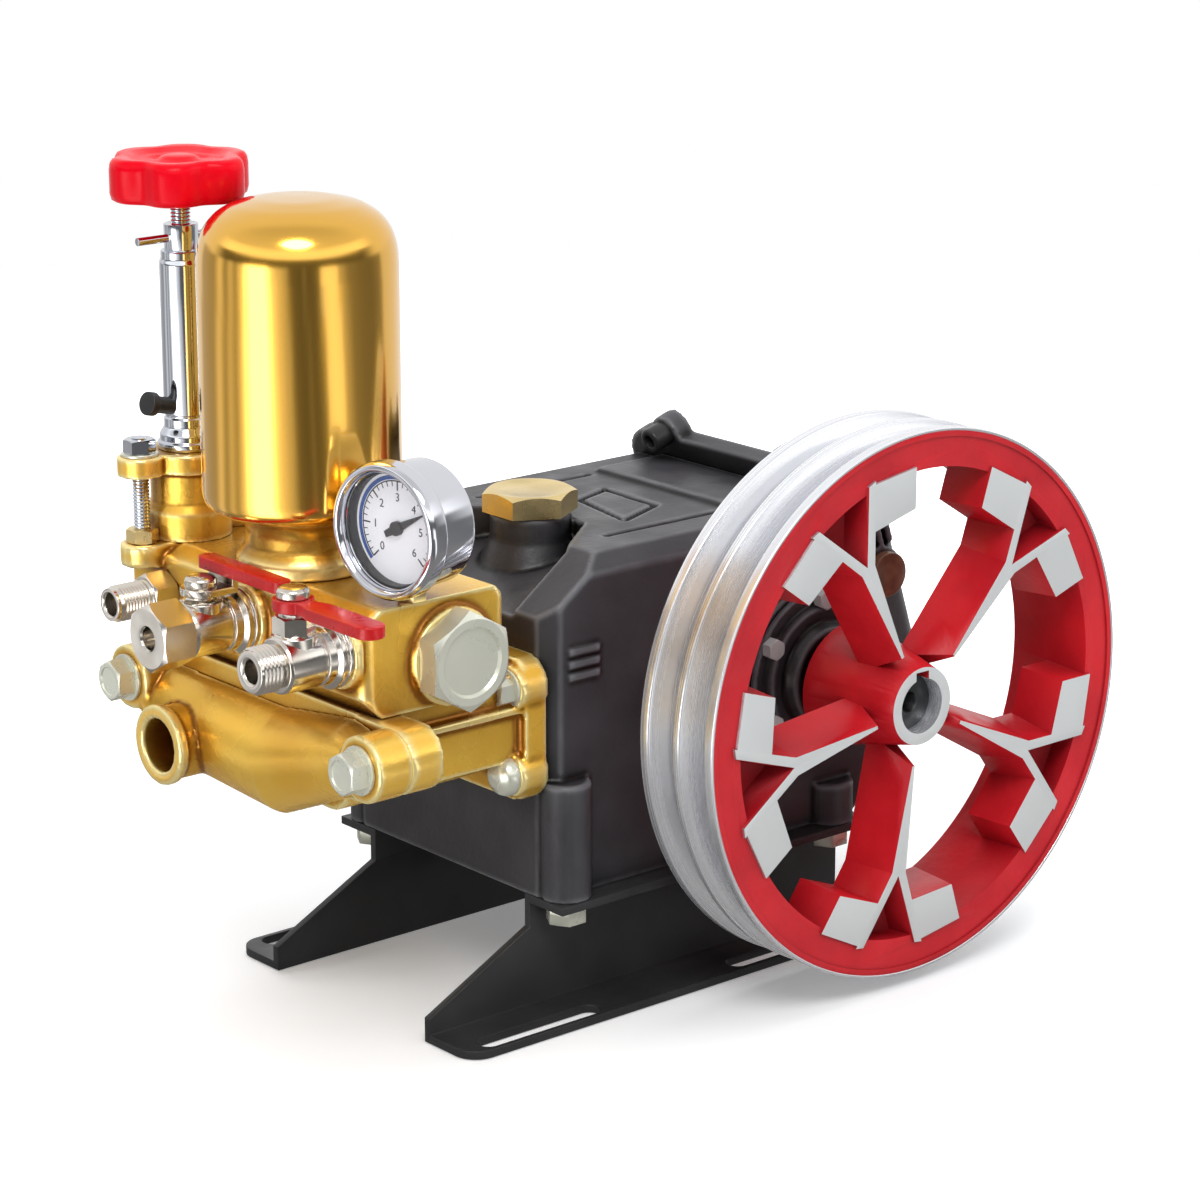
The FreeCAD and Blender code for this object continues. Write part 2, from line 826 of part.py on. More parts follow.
def cut_top_panel(body):
    """A skewed panel on the top, set off by a groove, and one straight groove on each side of it."""
    groove = S.panel_groove
    outer = [
        (S.panel_near_front_x, -S.panel_near_front_y),
        (S.panel_near_rear_x, -S.panel_near_rear_y),
        (S.panel_far_rear_x, S.panel_far_rear_y),
        (S.panel_far_front_x, S.panel_far_front_y),
    ]
    inner = [
        (S.panel_near_front_x + groove * 1.1, -S.panel_near_front_y + groove * 1.6),
        (S.panel_near_rear_x - groove, -S.panel_near_rear_y + groove * 0.6),
        (S.panel_far_rear_x - groove * 1.1, S.panel_far_rear_y - groove * 1.5),
        (S.panel_far_front_x + groove, S.panel_far_front_y - groove * 0.6),
    ]
    sketch = flat_sketch(body, "panel_groove_outline", "XY_Plane", outer, CASE_TOP, island=inner)
    pocket(body, "panel_groove_cut", sketch, S.panel_depth)
    for side_name, side in SIDES.items():
        low = side * S.long_groove_y - groove * 0.5
        start = -S.long_groove_front
        line = [(start, low), (S.long_groove_rear, low), (S.long_groove_rear, low + groove), (start, low + groove)]
        sketch = flat_sketch(body, side_name + "_long_groove_outline", "XY_Plane", line, CASE_TOP)
        pocket(body, side_name + "_long_groove", sketch, S.panel_depth)


def side_ribs(side_name, side):
    """Three short ribs high on the front of each side wall."""
    ribs = []
    for index in range(int(SIZES["side_rib_count"])):
        wall = S.case_width * 0.5 - S.cut_past
        low_y = wall if side > 0 else -wall - S.side_rib_rise - S.cut_past
        ribs.append(box(f"{side_name}_side_rib_{index}",
                        (-S.case_front + S.side_rib_back, low_y,
                         S.crank_height + S.side_rib_up + S.side_rib_pitch * index),
                        (S.side_rib_length, S.side_rib_rise + S.cut_past, S.side_rib_thick)))
    return ribs


def make_rear_cover():
    """A domed cover on the slanting rear joint, with ears, end ribs and a seat for the sight plug."""
    length, tilt = joint_frame()
    half = S.case_width * 0.5
    body = new_body("cover_body")
    outline = [(0, -half), (length, -half), (length, half), (0, half)]
    pad(body, "cover_flange_pad", flat_sketch(body, "cover_flange_outline", "XY_Plane", outline), S.cover_flange)
    soften(body, "cover_flange_corners", "Fillet", lambda edge: runs_along(edge, "Z"), Radius=S.cover_corner)
    end = S.cover_dome_end
    edge_y = half - S.cover_dome_side
    dome = [(end, -edge_y), (length - end, -edge_y), (length - end, edge_y), (end, edge_y)]
    pad(body, "cover_dome_pad", flat_sketch(body, "cover_dome_outline", "XY_Plane", dome, S.cover_flange),
        S.cover_dome, draft=-S.cover_dome_draft)
    high = S.cover_flange.value + S.cover_dome.value
    soften(body, "cover_crown", "Fillet", lambda edge: abs(edge.CenterOfMass.z - high) < 0.1,
           Radius=S.cover_dome_round)
    pieces = [body]
    for side_name, side in SIDES.items():
        for ear, ear_x in (("top", 0), ("bottom", length)):
            pieces.append(rod(f"{side_name}_{ear}_ear", S.cover_ear_radius, S.cover_flange,
                              (ear_x, side * S.cover_ear_y, 0)))
        for index in range(int(SIZES["cover_rib_count"])):
            rib_z = S.cover_flange + S.cover_rib_start + S.cover_rib_pitch * index
            low_y = edge_y - S.cover_dome_side if side > 0 else -edge_y - S.cover_rib_proud
            pieces.append(box(f"{side_name}_end_rib_{index}", (S.cover_rib_top, low_y, rib_z),
                              (S.cover_rib_length, S.cover_dome_side + S.cover_rib_proud, S.cover_rib_thick)))
    seat_y = -edge_y - S.cover_rib_proud
    pieces.append(rod("sight_seat", S.sight_radius + S.sight_seat_lip, S.cover_dome_side,
                      (S.sight_down, seat_y, S.cover_flange + S.sight_depth), "Y"))
    bore = rod("sight_bore", S.sight_spigot_radius + S.bolt_gap, S.sight_out + S.end_gap + S.cut_past,
               (S.sight_down, seat_y - S.cut_past, S.cover_flange + S.sight_depth), "Y")
    whole = less("rear_cover_shape", union("rear_cover_solid", pieces), [bore])
    tilted(whole, "rear_cover", tilt)
    ring = rod("sight_head", S.sight_radius, S.sight_out,
               (S.sight_down, seat_y, S.cover_flange + S.sight_depth), "-Y")
    spigot = rod("sight_spigot", S.sight_spigot_radius, S.sight_out,
                 (S.sight_down, seat_y, S.cover_flange + S.sight_depth), "Y")
    tilted(union("sight_plug_shape", [ring, spigot]), "sight_plug", tilt)


def tilted(item, label, tilt):
    """Carry a piece drawn flat onto the slanting rear joint."""
    place(item, (S.joint_top_x, 0, JOINT_TOP_Z), FreeCAD.Rotation(Vector(0, 1, 0), tilt.value))
    item.setExpression("Placement.Rotation.Angle", tilt.text)
    node(item, label)


def make_bearing_covers():
    """Stepped round covers; the near one lets the shaft through its seal boss."""
    first = S.bearing_cover_thick * 0.5
    top = S.bearing_cover_thick + S.seal_boss_out
    for side_name, side in SIDES.items():
        eye = S.shaft_radius + S.running_gap if side < 0 else 0
        profile = [
            (eye, 0),
            (S.bearing_cover_radius, 0),
            (S.bearing_cover_radius, first),
            (S.bearing_cover_step, first),
            (S.bearing_cover_step - S.bearing_cover_slope, S.bearing_cover_thick),
            (S.seal_boss_radius, S.bearing_cover_thick),
            (S.seal_boss_radius - S.bearing_cover_slope, top),
            (eye, top),
        ]
        start = side * (S.case_width * 0.5 + S.house_out)
        turn = FreeCAD.Rotation(Vector(1, 0, 0), -side * 90)
        body = lathe(side_name + "_cover_body", profile, (S.crank_x, start, S.crank_height), turn)
        node(body, side_name + "_bearing_cover")


def make_oil_cap():
    seat = CASE_TOP + S.neck_rise
    head = prism("cap_head", S.cap_flats, S.cap_height, (-S.neck_x, 0, seat))
    spigot = rod("cap_spigot", S.cap_spigot_radius, S.cap_spigot_length,
                 (-S.neck_x, 0, seat - S.cap_spigot_length))
    node(union("oil_filler_cap", [head, spigot]), "oil_filler_cap")


# Crankshaft and pulley


def key_box(name, room, past):
    """The key's space: room is its side clearance, past what it is longer at each end."""
    front = -S.pulley_face + S.shaft_recess
    low_z = S.crank_height + S.shaft_radius - S.key_sink
    return box(name, (S.crank_x - S.key_width * 0.5 - room, front - past, low_z),
               (S.key_width + room * 2, S.key_length + past * 2, S.key_sink + S.key_rise + room))


def make_crankshaft():
    """The driven end of the shaft, from the crankcase to inside the pulley hub, with its key."""
    inner = S.case_width * 0.5 - S.shaft_bury + S.end_gap
    outer = S.pulley_face - S.shaft_recess
    shaft = rod("shaft_bar", S.shaft_radius, outer - inner, (S.crank_x, -inner, S.crank_height), "-Y")
    centre_hole = cone("shaft_centre_hole", S.centre_hole_tip, S.centre_hole_radius, S.centre_hole_depth,
                       (S.crank_x, S.centre_hole_depth - outer, S.crank_height), "-Y")
    node(less("crankshaft", shaft, [key_box("key_seat", 0.0, S.running_gap), centre_hole]), "crankshaft")
    node(key_box("shaft_key", 0.0, 0.0), "shaft_key")


def make_pulley():
    """One casting: a coned hub, five forked spokes in a polar pattern, and a rim with two V grooves."""
    body = new_body("pulley_body")
    front = -S.pulley_face
    back = front + S.rim_width
    bore = S.shaft_radius + S.running_gap
    hub = [(bore, front), (S.hub_radius, front), (S.hub_root_radius, back), (bore, back)]
    turned(body, "hub_turn", flat_sketch(body, "hub_profile", "XY_Plane", hub))
    spoke = add_spoke(body)
    pattern = body.newObject("PartDesign::PolarPattern", "spoke_pattern")
    pattern.Originals = spoke
    pattern.Axis = (own_plane(body, "Y_Axis"), [""])
    pattern.Angle = 360.0
    bind(pattern, Occurrences=S.spoke_count)
    pattern.Occurrences = int(SIZES["spoke_count"])
    body.Tip = pattern
    doc.recompute()
    turned(body, "rim_turn", flat_sketch(body, "rim_profile", "XY_Plane", rim_profile(front, back)))
    spin = FreeCAD.Rotation(Vector(0, -1, 0), S.first_spoke.value)
    place(body, (S.crank_x, 0, S.crank_height), spin)
    keyway = key_box("hub_keyway", S.running_gap * 2, S.rim_width)
    node(less("pulley", body, [keyway]), "pulley")


def rim_profile(front, back):
    """The rim's section: stepped face, outer lip and two V grooves."""
    radius = S.pulley_radius
    inner = radius - S.rim_wall
    floor = radius - S.groove_depth
    middle = front + S.rim_width * 0.5
    face = front + S.lip_rise
    outline = [(inner, face), (radius - S.rim_lip, face), (radius - S.rim_lip, front), (radius, front)]
    for centre in (middle - S.groove_pitch * 0.5, middle + S.groove_pitch * 0.5):
        outline += [
            (radius, centre - S.groove_top * 0.5),
            (floor, centre - S.groove_floor * 0.5),
            (floor, centre + S.groove_floor * 0.5),
            (radius, centre + S.groove_top * 0.5),
        ]
    return outline + [(radius, back), (inner, back)]


def add_spoke(body):
    """A stem with a machined ridge, forked into two prongs that each end in a deep block at the rim."""
    reach = S.pulley_radius - S.rim_wall + S.spoke_bite
    fork = reach - S.fork_rise - S.spoke_bite
    apex = fork + S.fork_apex
    spread = tangent(S.prong_angle)
    inner = (reach - apex) * spread
    outer = inner + S.prong_width / cosine(S.prong_angle)
    wide = S.spoke_draft
    narrow = wide / cosine(S.prong_angle)
    front_outline = [
        (S.spoke_start, -S.ridge_at_hub), (fork, -S.ridge_at_fork), (reach, -outer), (reach, -inner),
        (apex, 0), (reach, inner), (reach, outer), (fork, S.ridge_at_fork), (S.spoke_start, S.ridge_at_hub),
    ]
    rear_outline = [
        (S.spoke_root, -S.ridge_at_hub - wide), (fork, -S.ridge_at_fork - wide), (reach, -outer - wide),
        (reach, narrow - inner), (apex + wide / sine(S.prong_angle), 0), (reach, inner - narrow),
        (reach, outer + wide), (fork, S.ridge_at_fork + wide), (S.spoke_root, S.ridge_at_hub + wide),
    ]
    front_sketch = flat_sketch(body, "spoke_front", "XZ_Plane", front_outline, S.pulley_face)
    rear_sketch = flat_sketch(body, "spoke_rear", "XZ_Plane", rear_outline, S.pulley_face - S.spoke_depth)
    stem = body.newObject("PartDesign::AdditiveLoft", "spoke_stem")
    stem.Profile = front_sketch
    stem.Sections = [rear_sketch]
    stem.Ruled = True
    doc.recompute()
    web = [(fork, 0), (reach, -inner - S.web_bite), (reach, inner + S.web_bite)]
    web_sketch = flat_sketch(body, "fork_web_outline", "XZ_Plane", web, S.pulley_face - S.spoke_depth)
    features = [stem, pad(body, "fork_web", web_sketch, S.spoke_depth - S.web_depth)]
    for name, sign in (("left", -1), ("right", 1)):
        edge = reach - S.spoke_bite - S.block_length
        tip = S.block_angle
        outline = [
            (edge, sign * (edge - apex) * spread),
            (reach, sign * inner),
            (reach * cosine(tip), sign * (reach * sine(tip))),
            ((edge + S.block_skew) * cosine(tip), sign * ((edge + S.block_skew) * sine(tip) - S.block_skew)),
        ]
        sketch = flat_sketch(body, name + "_block_outline", "XZ_Plane", outline, S.pulley_face)
        features.append(pad(body, name + "_block", sketch, S.spoke_depth, back=True, draft=S.block_draft))
    doc.recompute()
    return features


# Fluid end


def tie_y(side_name):
    """The tie bolts stand a little nearer to the pulley's side."""
    return S.near_tie_y if side_name == "near" else S.far_tie_y


def make_cylinder_block():
    """The mounting flange and three plunger cylinders, with two side ears for the tie bolts."""
    flange_x = -S.case_front - S.block_flange_thick
    low = S.crank_height - S.block_flange_down
    flange = box("block_flange", (flange_x, -S.block_flange_width * 0.5, low),
                 (S.block_flange_thick, S.block_flange_width, S.block_flange_up + S.block_flange_down))
    soft = rounded("block_flange_soft", flange, S.block_flange_corner, lambda edge: runs_along(edge, "X"))
    core_length = S.block_front - S.case_front - S.block_flange_thick
    core = box("block_core", (-S.block_front, -S.block_width * 0.5, S.crank_height - S.block_down),
               (core_length + S.cut_past, S.block_width, S.block_up + S.block_down))
    rib = box("block_side_rib", (-S.block_front, -S.block_width * 0.5 - S.block_rib, TIE_Z - S.block_rib * 0.5),
              (core_length + S.cut_past, S.block_width + S.block_rib * 2, S.block_rib))
    pieces = [soft, core, rib]
    for index in (-1, 0, 1):
        pieces.append(rod(f"cylinder_{index + 2}", S.cylinder_radius, S.block_front - S.case_front,
                          (-S.case_front, index * S.plunger_pitch, S.crank_height), "-X"))
    holes = []
    for side_name, side in SIDES.items():
        ear_y = tie_y(side_name)
        arm = ear_y - S.block_width * 0.5 + S.tie_ear_radius * 0.5
        pieces.append(rod(side_name + "_block_ear", S.tie_ear_radius, S.tie_ear_thick,
                          (-S.block_front, side * ear_y, TIE_Z), "X"))
        low_y = ear_y - arm if side > 0 else -ear_y
        pieces.append(box(side_name + "_block_arm", (-S.block_front, low_y, TIE_Z - S.tie_ear_radius),
                          (S.tie_ear_thick, arm, S.tie_ear_radius * 2)))
        boss_y = side * (S.block_flange_width * 0.5 - S.flange_boss_inset)
        for corner, corner_z in (("upper", S.flange_boss_up), ("lower", -S.flange_boss_down)):
            pieces.append(rod(f"{side_name}_{corner}_flange_boss", S.flange_boss_radius,
                              S.block_flange_thick + S.flange_boss_proud,
                              (-S.case_front, boss_y, S.crank_height + corner_z), "-X"))
        holes.append(rod(side_name + "_tie_tapping", S.tie_radius + S.bolt_gap,
                         S.tie_ear_thick + S.cut_past * 2,
                         (-S.block_front - S.cut_past, side * ear_y, TIE_Z), "X"))
    node(less("cylinder_block", union("block_solid", pieces), holes), "cylinder_block")


def section_circle(name, radius, at):
    item = doc.addObject("Part::Circle", name)
    bind(item, Radius=radius)
    place(item, at, along("Y"))
    return item


def make_suction_manifold():
    """The tapering front casting that feeds the three cylinders, with one inlet port."""
    half = S.suction_span * 0.5
    face = -S.block_front
    ear = S.suction_reach
    near_x = face - ear + S.suction_near_radius
    mid_x = face - ear - S.suction_mid_proud + S.suction_mid_radius
    far_x = face - ear + S.suction_far_radius
    sections = [
        section_circle("suction_near_tip", ear * 0.5, (face - ear * 0.5, -S.near_tie_y, TIE_Z)),
        section_circle("suction_near_end", S.suction_near_radius,
                       (near_x, -half, S.crank_height + S.suction_near_up)),
        section_circle("suction_middle", S.suction_mid_radius,
                       (mid_x, -S.suction_mid_y, S.crank_height - S.suction_mid_down)),
        section_circle("suction_far_end", S.suction_far_radius,
                       (far_x, half, S.crank_height - S.suction_far_down)),
        section_circle("suction_far_tip", ear * 0.5, (face - ear * 0.5, S.far_tie_y, TIE_Z)),
    ]
    barrel = doc.addObject("Part::Loft", "suction_barrel")
    barrel.Sections = sections
    barrel.Solid = True
    barrel.Ruled = True
    behind = S.suction_mid_radius * 2
    trim = box("suction_trim", (face, -S.suction_span, 0), (behind, S.suction_span * 2, CASE_TOP))
    pieces = [less("suction_front", barrel, [trim])]
    for side_name, side in SIDES.items():
        pieces.append(rod(side_name + "_suction_ear", S.tie_ear_radius, ear,
                          (face, side * tie_y(side_name), TIE_Z), "-X"))
    port_z = S.crank_height - S.port_down
    mouth = (-S.port_face, S.port_y, port_z)
    pieces.append(rod("port_neck", S.port_radius, S.port_face - S.block_front, mouth, "X"))
    pieces.append(rod("port_ring", S.port_radius + S.port_lip, S.port_ring_width, mouth, "X"))
    cuts = [rod("port_bore", S.port_bore, S.port_depth + S.cut_past,
                (-S.port_face - S.cut_past, S.port_y, port_z), "X")]
    for side_name, side in SIDES.items():
        cuts.append(rod(side_name + "_tie_hole", S.tie_radius + S.bolt_gap, ear + S.cut_past * 2,
                        (face + S.cut_past, side * tie_y(side_name), TIE_Z), "-X"))
    node(less("suction_manifold", union("suction_solid", pieces), cuts), "suction_manifold")
    for side_name, side in SIDES.items():
        seat = (face - ear, side * tie_y(side_name), TIE_Z)
        head = prism(side_name + "_tie_head", S.tie_flats, S.tie_head, seat, "-X")
        shank = rod(side_name + "_tie_shank", S.tie_radius, ear + S.tie_ear_thick, seat, "X")
        node(union(side_name + "_tie_bolt", [head, shank]), side_name + "_tie_bolt")


def make_discharge_manifold():
    """The valve chest on the cylinders, which carries everything under pressure."""
    body = new_body("chest_body")
    front = -S.chest_front
    rear = -S.chest_rear
    bevel = S.chest_bevel
    outline = [
        (front + bevel, BLOCK_TOP),
        (rear, BLOCK_TOP),
        (rear, CHEST_TOP - bevel * 0.6),
        (rear - bevel * 0.6, CHEST_TOP),
        (front + bevel, CHEST_TOP),
        (front, CHEST_TOP - bevel * 0.6),
        (front, BLOCK_TOP + bevel),
    ]
    sketch = flat_sketch(body, "chest_outline", "XZ_Plane", outline, S.chest_near)
    pad(body, "chest_pad", sketch, S.chest_near + S.chest_far, back=True)
    soften(body, "chest_ends", "Fillet",
           lambda edge: runs_along(edge, "Z") and abs(abs(edge.CenterOfMass.y) - S.chest_near.value) < 20,
           Radius=S.chest_round)
    pieces = [body]
    gallery_z = BLOCK_TOP + S.gallery_up
    ends = {"near": -S.chest_near, "far": S.chest_far}
    for side_name, start in ends.items():
        pieces.append(rod(side_name + "_gallery_boss", S.gallery_radius, S.gallery_boss,
                          (-S.gallery_x, start, gallery_z), OUTWARD[side_name]))
    lug_x = -S.regulator_x - S.regulator_reach
    lug_z = CHEST_TOP - S.clamp_lug_height
    pieces.append(rod("clamp_lug", S.regulator_lobe, S.clamp_lug_height, (lug_x, S.regulator_y, lug_z)))
    pieces.append(box("clamp_lug_root", (lug_x, S.regulator_y - S.regulator_lobe, lug_z),
                      (S.regulator_reach * 2, S.regulator_lobe * 2, S.clamp_lug_height)))
    for name, cock_y in (("near", -S.near_cock_y), ("far", S.far_cock_y)):
        pieces.append(rod(name + "_outlet_boss", S.cock_collar_radius + S.outlet_boss_lip, S.outlet_boss,
                          (front, cock_y, COCK_Z), "-X"))
    cuts = []
    seats = {"near": -S.chest_near - S.gallery_boss, "far": S.chest_far + S.gallery_boss}
    for side_name, start in seats.items():
        cuts.append(rod(side_name + "_gallery_end", S.plug_spigot_radius + S.bolt_gap,
                        S.plug_spigot_length + S.end_gap, (-S.gallery_x, start, gallery_z), INWARD[side_name]))
    node(less("discharge_manifold", union("chest_solid", pieces), cuts), "discharge_manifold")
    for side_name, start in seats.items():
        seat = (-S.gallery_x, start, gallery_z)
        head = prism(side_name + "_plug_head", S.plug_flats, S.plug_head, seat, OUTWARD[side_name], 30.0)
        spigot = rod(side_name + "_plug_spigot", S.plug_spigot_radius, S.plug_spigot_length, seat,
                     INWARD[side_name])
        node(union(side_name + "_gallery_plug", [head, spigot]), side_name + "_gallery_plug")


def make_air_chamber():
    """A drawn can with a domed top, on a waisted base."""
    base = [
        (0, 0),
        (S.chamber_foot_radius, 0),
        (S.chamber_foot_radius, S.chamber_foot_thick),
        (S.chamber_waist_radius, S.chamber_foot_thick * 2),
        (S.chamber_waist_radius, S.chamber_lift - S.chamber_foot_thick),
        (S.chamber_seat_radius, S.chamber_lift),
        (0, S.chamber_lift),
    ]
    node(lathe("chamber_base", base, (-S.chamber_x, 0, CHEST_TOP)), "chamber_base")
    can = [(0, 0), (S.chamber_radius, 0), (S.chamber_radius, S.chamber_length), (0, S.chamber_length)]
    body = lathe("air_chamber", can, (-S.chamber_x, 0, CHAMBER_BOTTOM))
    for name, radius, height in (("chamber_crown", S.chamber_dome, S.chamber_length),
                                 ("chamber_foot_edge", S.chamber_foot_round, None)):
        level = CHAMBER_BOTTOM.value + (height.value if height else 0.0)
        soften(body, name, "Fillet", lambda edge: is_ring_at(edge, level, body), Radius=radius)
    node(body, "air_chamber")


def is_ring_at(edge, level, body):
    """A round edge at a row height, on a body that stands upright."""
    own_level = level - body.Placement.Base.z
    return isinstance(edge.Curve, Part.Circle) and abs(edge.CenterOfMass.z - own_level) < 0.1


# Pressure gauge


def make_gauge():
    """A small bourdon gauge that looks forwards, turned a little to the near side."""
    angle = math.radians(S.gauge_turn.value)
    face = Vector(-math.cos(angle), -math.sin(angle), 0)
    front = S.gauge_depth * 0.5
    across = cosine(S.gauge_turn)
    aside = sine(S.gauge_turn)
    height = CHEST_TOP + S.gauge_up

    def ahead(distance):
        return (-S.gauge_x - distance * across, -S.gauge_y - distance * aside, height)

    case = rod("gauge_can", S.gauge_radius, S.gauge_depth, ahead(-front), face)
    inside = S.gauge_radius - S.gauge_wall
    hollow = rod("gauge_hollow", inside, S.dial_back + S.cut_past, ahead(front - S.dial_back), face)
    node(less("gauge_case", case, [hollow]), "gauge_case")
    ring = rod("bezel_ring", S.bezel_radius, S.bezel_width, ahead(front - S.bezel_lap), face)
    ring_bore = rod("bezel_bore", S.gauge_radius + S.running_gap, S.bezel_lap, ahead(front - S.bezel_lap), face)
    ring_eye = rod("bezel_eye", S.bezel_radius - S.bezel_lip, S.bezel_width, ahead(front - S.cut_past), face)
    node(less("gauge_bezel", ring, [ring_bore, ring_eye]), "gauge_bezel")
    dial_at = front - S.dial_back
    node(rod("dial_disc", inside - S.end_gap, S.dial_thick, ahead(dial_at), face), "gauge_dial")
    make_needle(face, Vector(*[number(value) for value in ahead(dial_at + S.dial_thick)]))
    glass_at = front - S.glass_front - S.glass_thick + S.cut_past
    node(rod("glass_disc", inside - S.end_gap, S.glass_thick, ahead(glass_at), face), "gauge_glass")
    drop = S.gauge_up - S.gauge_radius + S.stem_bite
    nut = prism("stem_nut", S.stem_flats, S.stem_nut, (-S.gauge_x, -S.gauge_y, CHEST_TOP))
    neck = rod("stem_neck", S.stem_radius, drop, (-S.gauge_x, -S.gauge_y, CHEST_TOP))
    trim = rod("stem_trim", S.gauge_radius + S.running_gap, S.gauge_depth, ahead(-front), face)
    node(less("gauge_stem", union("stem_solid", [nut, neck]), [trim]), "gauge_stem")


def make_needle(face, hub_at):
    """A slim kite-shaped pointer on a small hub."""
    up = Vector(0, 0, 1)
    lean = math.radians(S.needle_angle.value)
    pointer = up.cross(face) * math.sin(lean) + up * math.cos(lean)
    side = face.cross(pointer)
    hub_radius = S.needle_hub.value
    thick = S.needle_thick.value
    tip = hub_at + pointer * S.needle_length.value
    tail = hub_at - pointer * S.needle_tail.value
    waist = side * S.needle_waist.value
    stub = side * S.needle_stub.value
    outline = [tip, hub_at + waist, tail + stub, tail - stub, hub_at - waist, tip]
    blade = Part.Face(Part.makePolygon(outline)).extrude(face * thick)
    hub = Part.makeCylinder(hub_radius, thick * 2, hub_at, face)
    needle = doc.addObject("Part::Feature", "needle_shape")
    needle.Shape = blade.fuse(hub).removeSplitter()
    node(needle, "gauge_needle")


# Pressure regulator


def make_regulator():
    """A waisted body with a two-eared clamp plate, a tall tube, a screw and its red handwheel."""
    centre = (-S.regulator_x, S.regulator_y)
    foot = S.regulator_foot_radius
    waist = S.regulator_waist_radius
    profile = [
        (0, 0), (foot, 0), (foot, S.regulator_height * 0.4), (waist, S.regulator_height * 0.55),
        (waist, S.regulator_height), (0, S.regulator_height),
    ]
    body = lathe("regulator_column", profile, (*centre, CHEST_TOP))
    plate_z = CHEST_TOP + S.regulator_height
    plate_top = plate_z + S.regulator_plate
    reach = S.regulator_reach
    lobe = S.regulator_lobe
    pieces = [body, rod("regulator_plate_eye", foot, S.regulator_plate, (*centre, plate_z))]
    pieces.append(box("regulator_bar", (-S.regulator_x - reach, S.regulator_y - lobe * 0.75, plate_z),
                      (reach * 2, lobe * 1.5, S.regulator_plate)))
    ears = {"front": -1, "rear": 1}
    for name, sign in ears.items():
        pieces.append(rod(name + "_lobe", lobe, S.regulator_plate,
                          (-S.regulator_x + sign * reach, S.regulator_y, plate_z)))
    holes = [rod(name + "_clamp_hole", S.clamp_rod_radius + S.bolt_gap, S.regulator_plate + S.cut_past * 2,
                 (-S.regulator_x + sign * reach, S.regulator_y, plate_z - S.cut_past))
             for name, sign in ears.items()]
    node(less("regulator_body", union("regulator_solid", pieces), holes), "regulator_body")
    make_regulator_tube(centre, plate_top)
    clamps = []
    for name, sign in ears.items():
        at = (-S.regulator_x + sign * reach, S.regulator_y)
        head = prism(name + "_clamp_head", S.clamp_nut_flats, S.clamp_nut_height, (*at, plate_top))
        shank = rod(name + "_clamp_rod", S.clamp_rod_radius, plate_top - CHEST_TOP, (*at, CHEST_TOP))
        clamps.append(union(name + "_clamp", [head, shank]))
    together("regulator_clamp_rods", clamps)


def make_regulator_tube(centre, low):
    """Tube, lock nut with its cross bar, screw and handwheel, one above the other."""
    top = low + S.tube_length
    eye = S.screw_radius + S.running_gap
    profile = [
        (0, 0), (S.tube_base_radius, 0), (S.tube_base_radius, S.tube_base_height * 0.6),
        (S.tube_radius, S.tube_base_height), (S.tube_radius, S.tube_length),
        (eye, S.tube_length), (eye, S.tube_length - S.screw_sink - S.end_gap),
        (0, S.tube_length - S.screw_sink - S.end_gap),
    ]
    node(lathe("regulator_tube", profile, (*centre, low)), "regulator_tube")
    nut = rod("lock_nut_disc", S.lock_nut_radius, S.lock_nut_height, (*centre, top))
    bar = rod("tommy_bar", S.tommy_radius, S.tommy_front + S.tommy_rear,
              (-S.regulator_x - S.tommy_front, S.regulator_y, top + S.lock_nut_height * 0.5), "X")
    nut_bore = rod("lock_nut_bore", eye, S.lock_nut_height + S.cut_past * 2, (*centre, top - S.cut_past))
    node(less("lock_nut", union("lock_nut_solid", [nut, bar]), [nut_bore]), "lock_nut")
    screw = rod("screw_bar", S.screw_radius, S.knob_lift + S.screw_sink, (*centre, top - S.screw_sink))
    node(screw, "regulator_screw")
    knob_z = top + S.knob_lift
    disc = rod("knob_disc", S.knob_radius, S.knob_thick, (*centre, knob_z))
    lobes = int(SIZES["knob_lobes"])
    away = S.knob_radius + S.knob_scallop_radius - S.knob_scallop_depth
    scallops = []
    for index in range(lobes):
        angle = math.radians(360 / lobes * index) + math.radians(S.knob_turn.value)
        at = (away * math.cos(angle) - S.regulator_x, away * math.sin(angle) + S.regulator_y,
              knob_z - S.cut_past)
        scallops.append(rod(f"scallop_{index}", S.knob_scallop_radius, S.knob_thick + S.cut_past * 2, at))
    grip = less("knob_grip", disc, scallops)
    soft = rounded("handwheel", grip, S.knob_round, lambda edge: not isinstance(edge.Curve, Part.Line))
    node(soft, "handwheel")


# Outlet cocks


def make_cock(name, cock_y, tip, top):
    """An outlet cock with a vertical spindle."""
    start = -S.chest_front - S.outlet_boss
    body = rod(name + "_barrel", S.cock_body_radius, S.cock_body_end - S.chest_front - S.outlet_boss,
               (start, cock_y, COCK_Z), "-X")
    collar = rod(name + "_collar", S.cock_collar_radius, S.cock_collar_width, (start, cock_y, COCK_Z), "-X")
    spout = rod(name + "_spout", S.cock_spout_radius, tip - S.chest_front - S.outlet_boss,
                (start, cock_y, COCK_Z), "-X")
    tower = rod(name + "_tower", S.cock_tower_radius, top - COCK_Z, (-S.cock_pivot_x, cock_y, COCK_Z))
    pieces = [body, collar, spout, tower]
    if name == "far":
        pieces.append(prism("far_nut_bar", S.far_nut_flats, S.far_nut_length, (-tip, cock_y, COCK_Z), "-X"))
        tip = tip + S.far_nut_length
    bore = rod(name + "_bore", S.cock_bore, tip - S.cock_body_end + S.cut_past,
               (-tip - S.cut_past, cock_y, COCK_Z), "X")
    pin_hole = rod(name + "_pin_hole", S.lever_pin_radius + S.running_gap, S.lever_pin_depth + S.cut_past,
                   (-S.cock_pivot_x, cock_y, top - S.lever_pin_depth))
    node(less(name + "_cock", union(name + "_cock_solid", pieces), [bore, pin_hole]), name + "_cock")


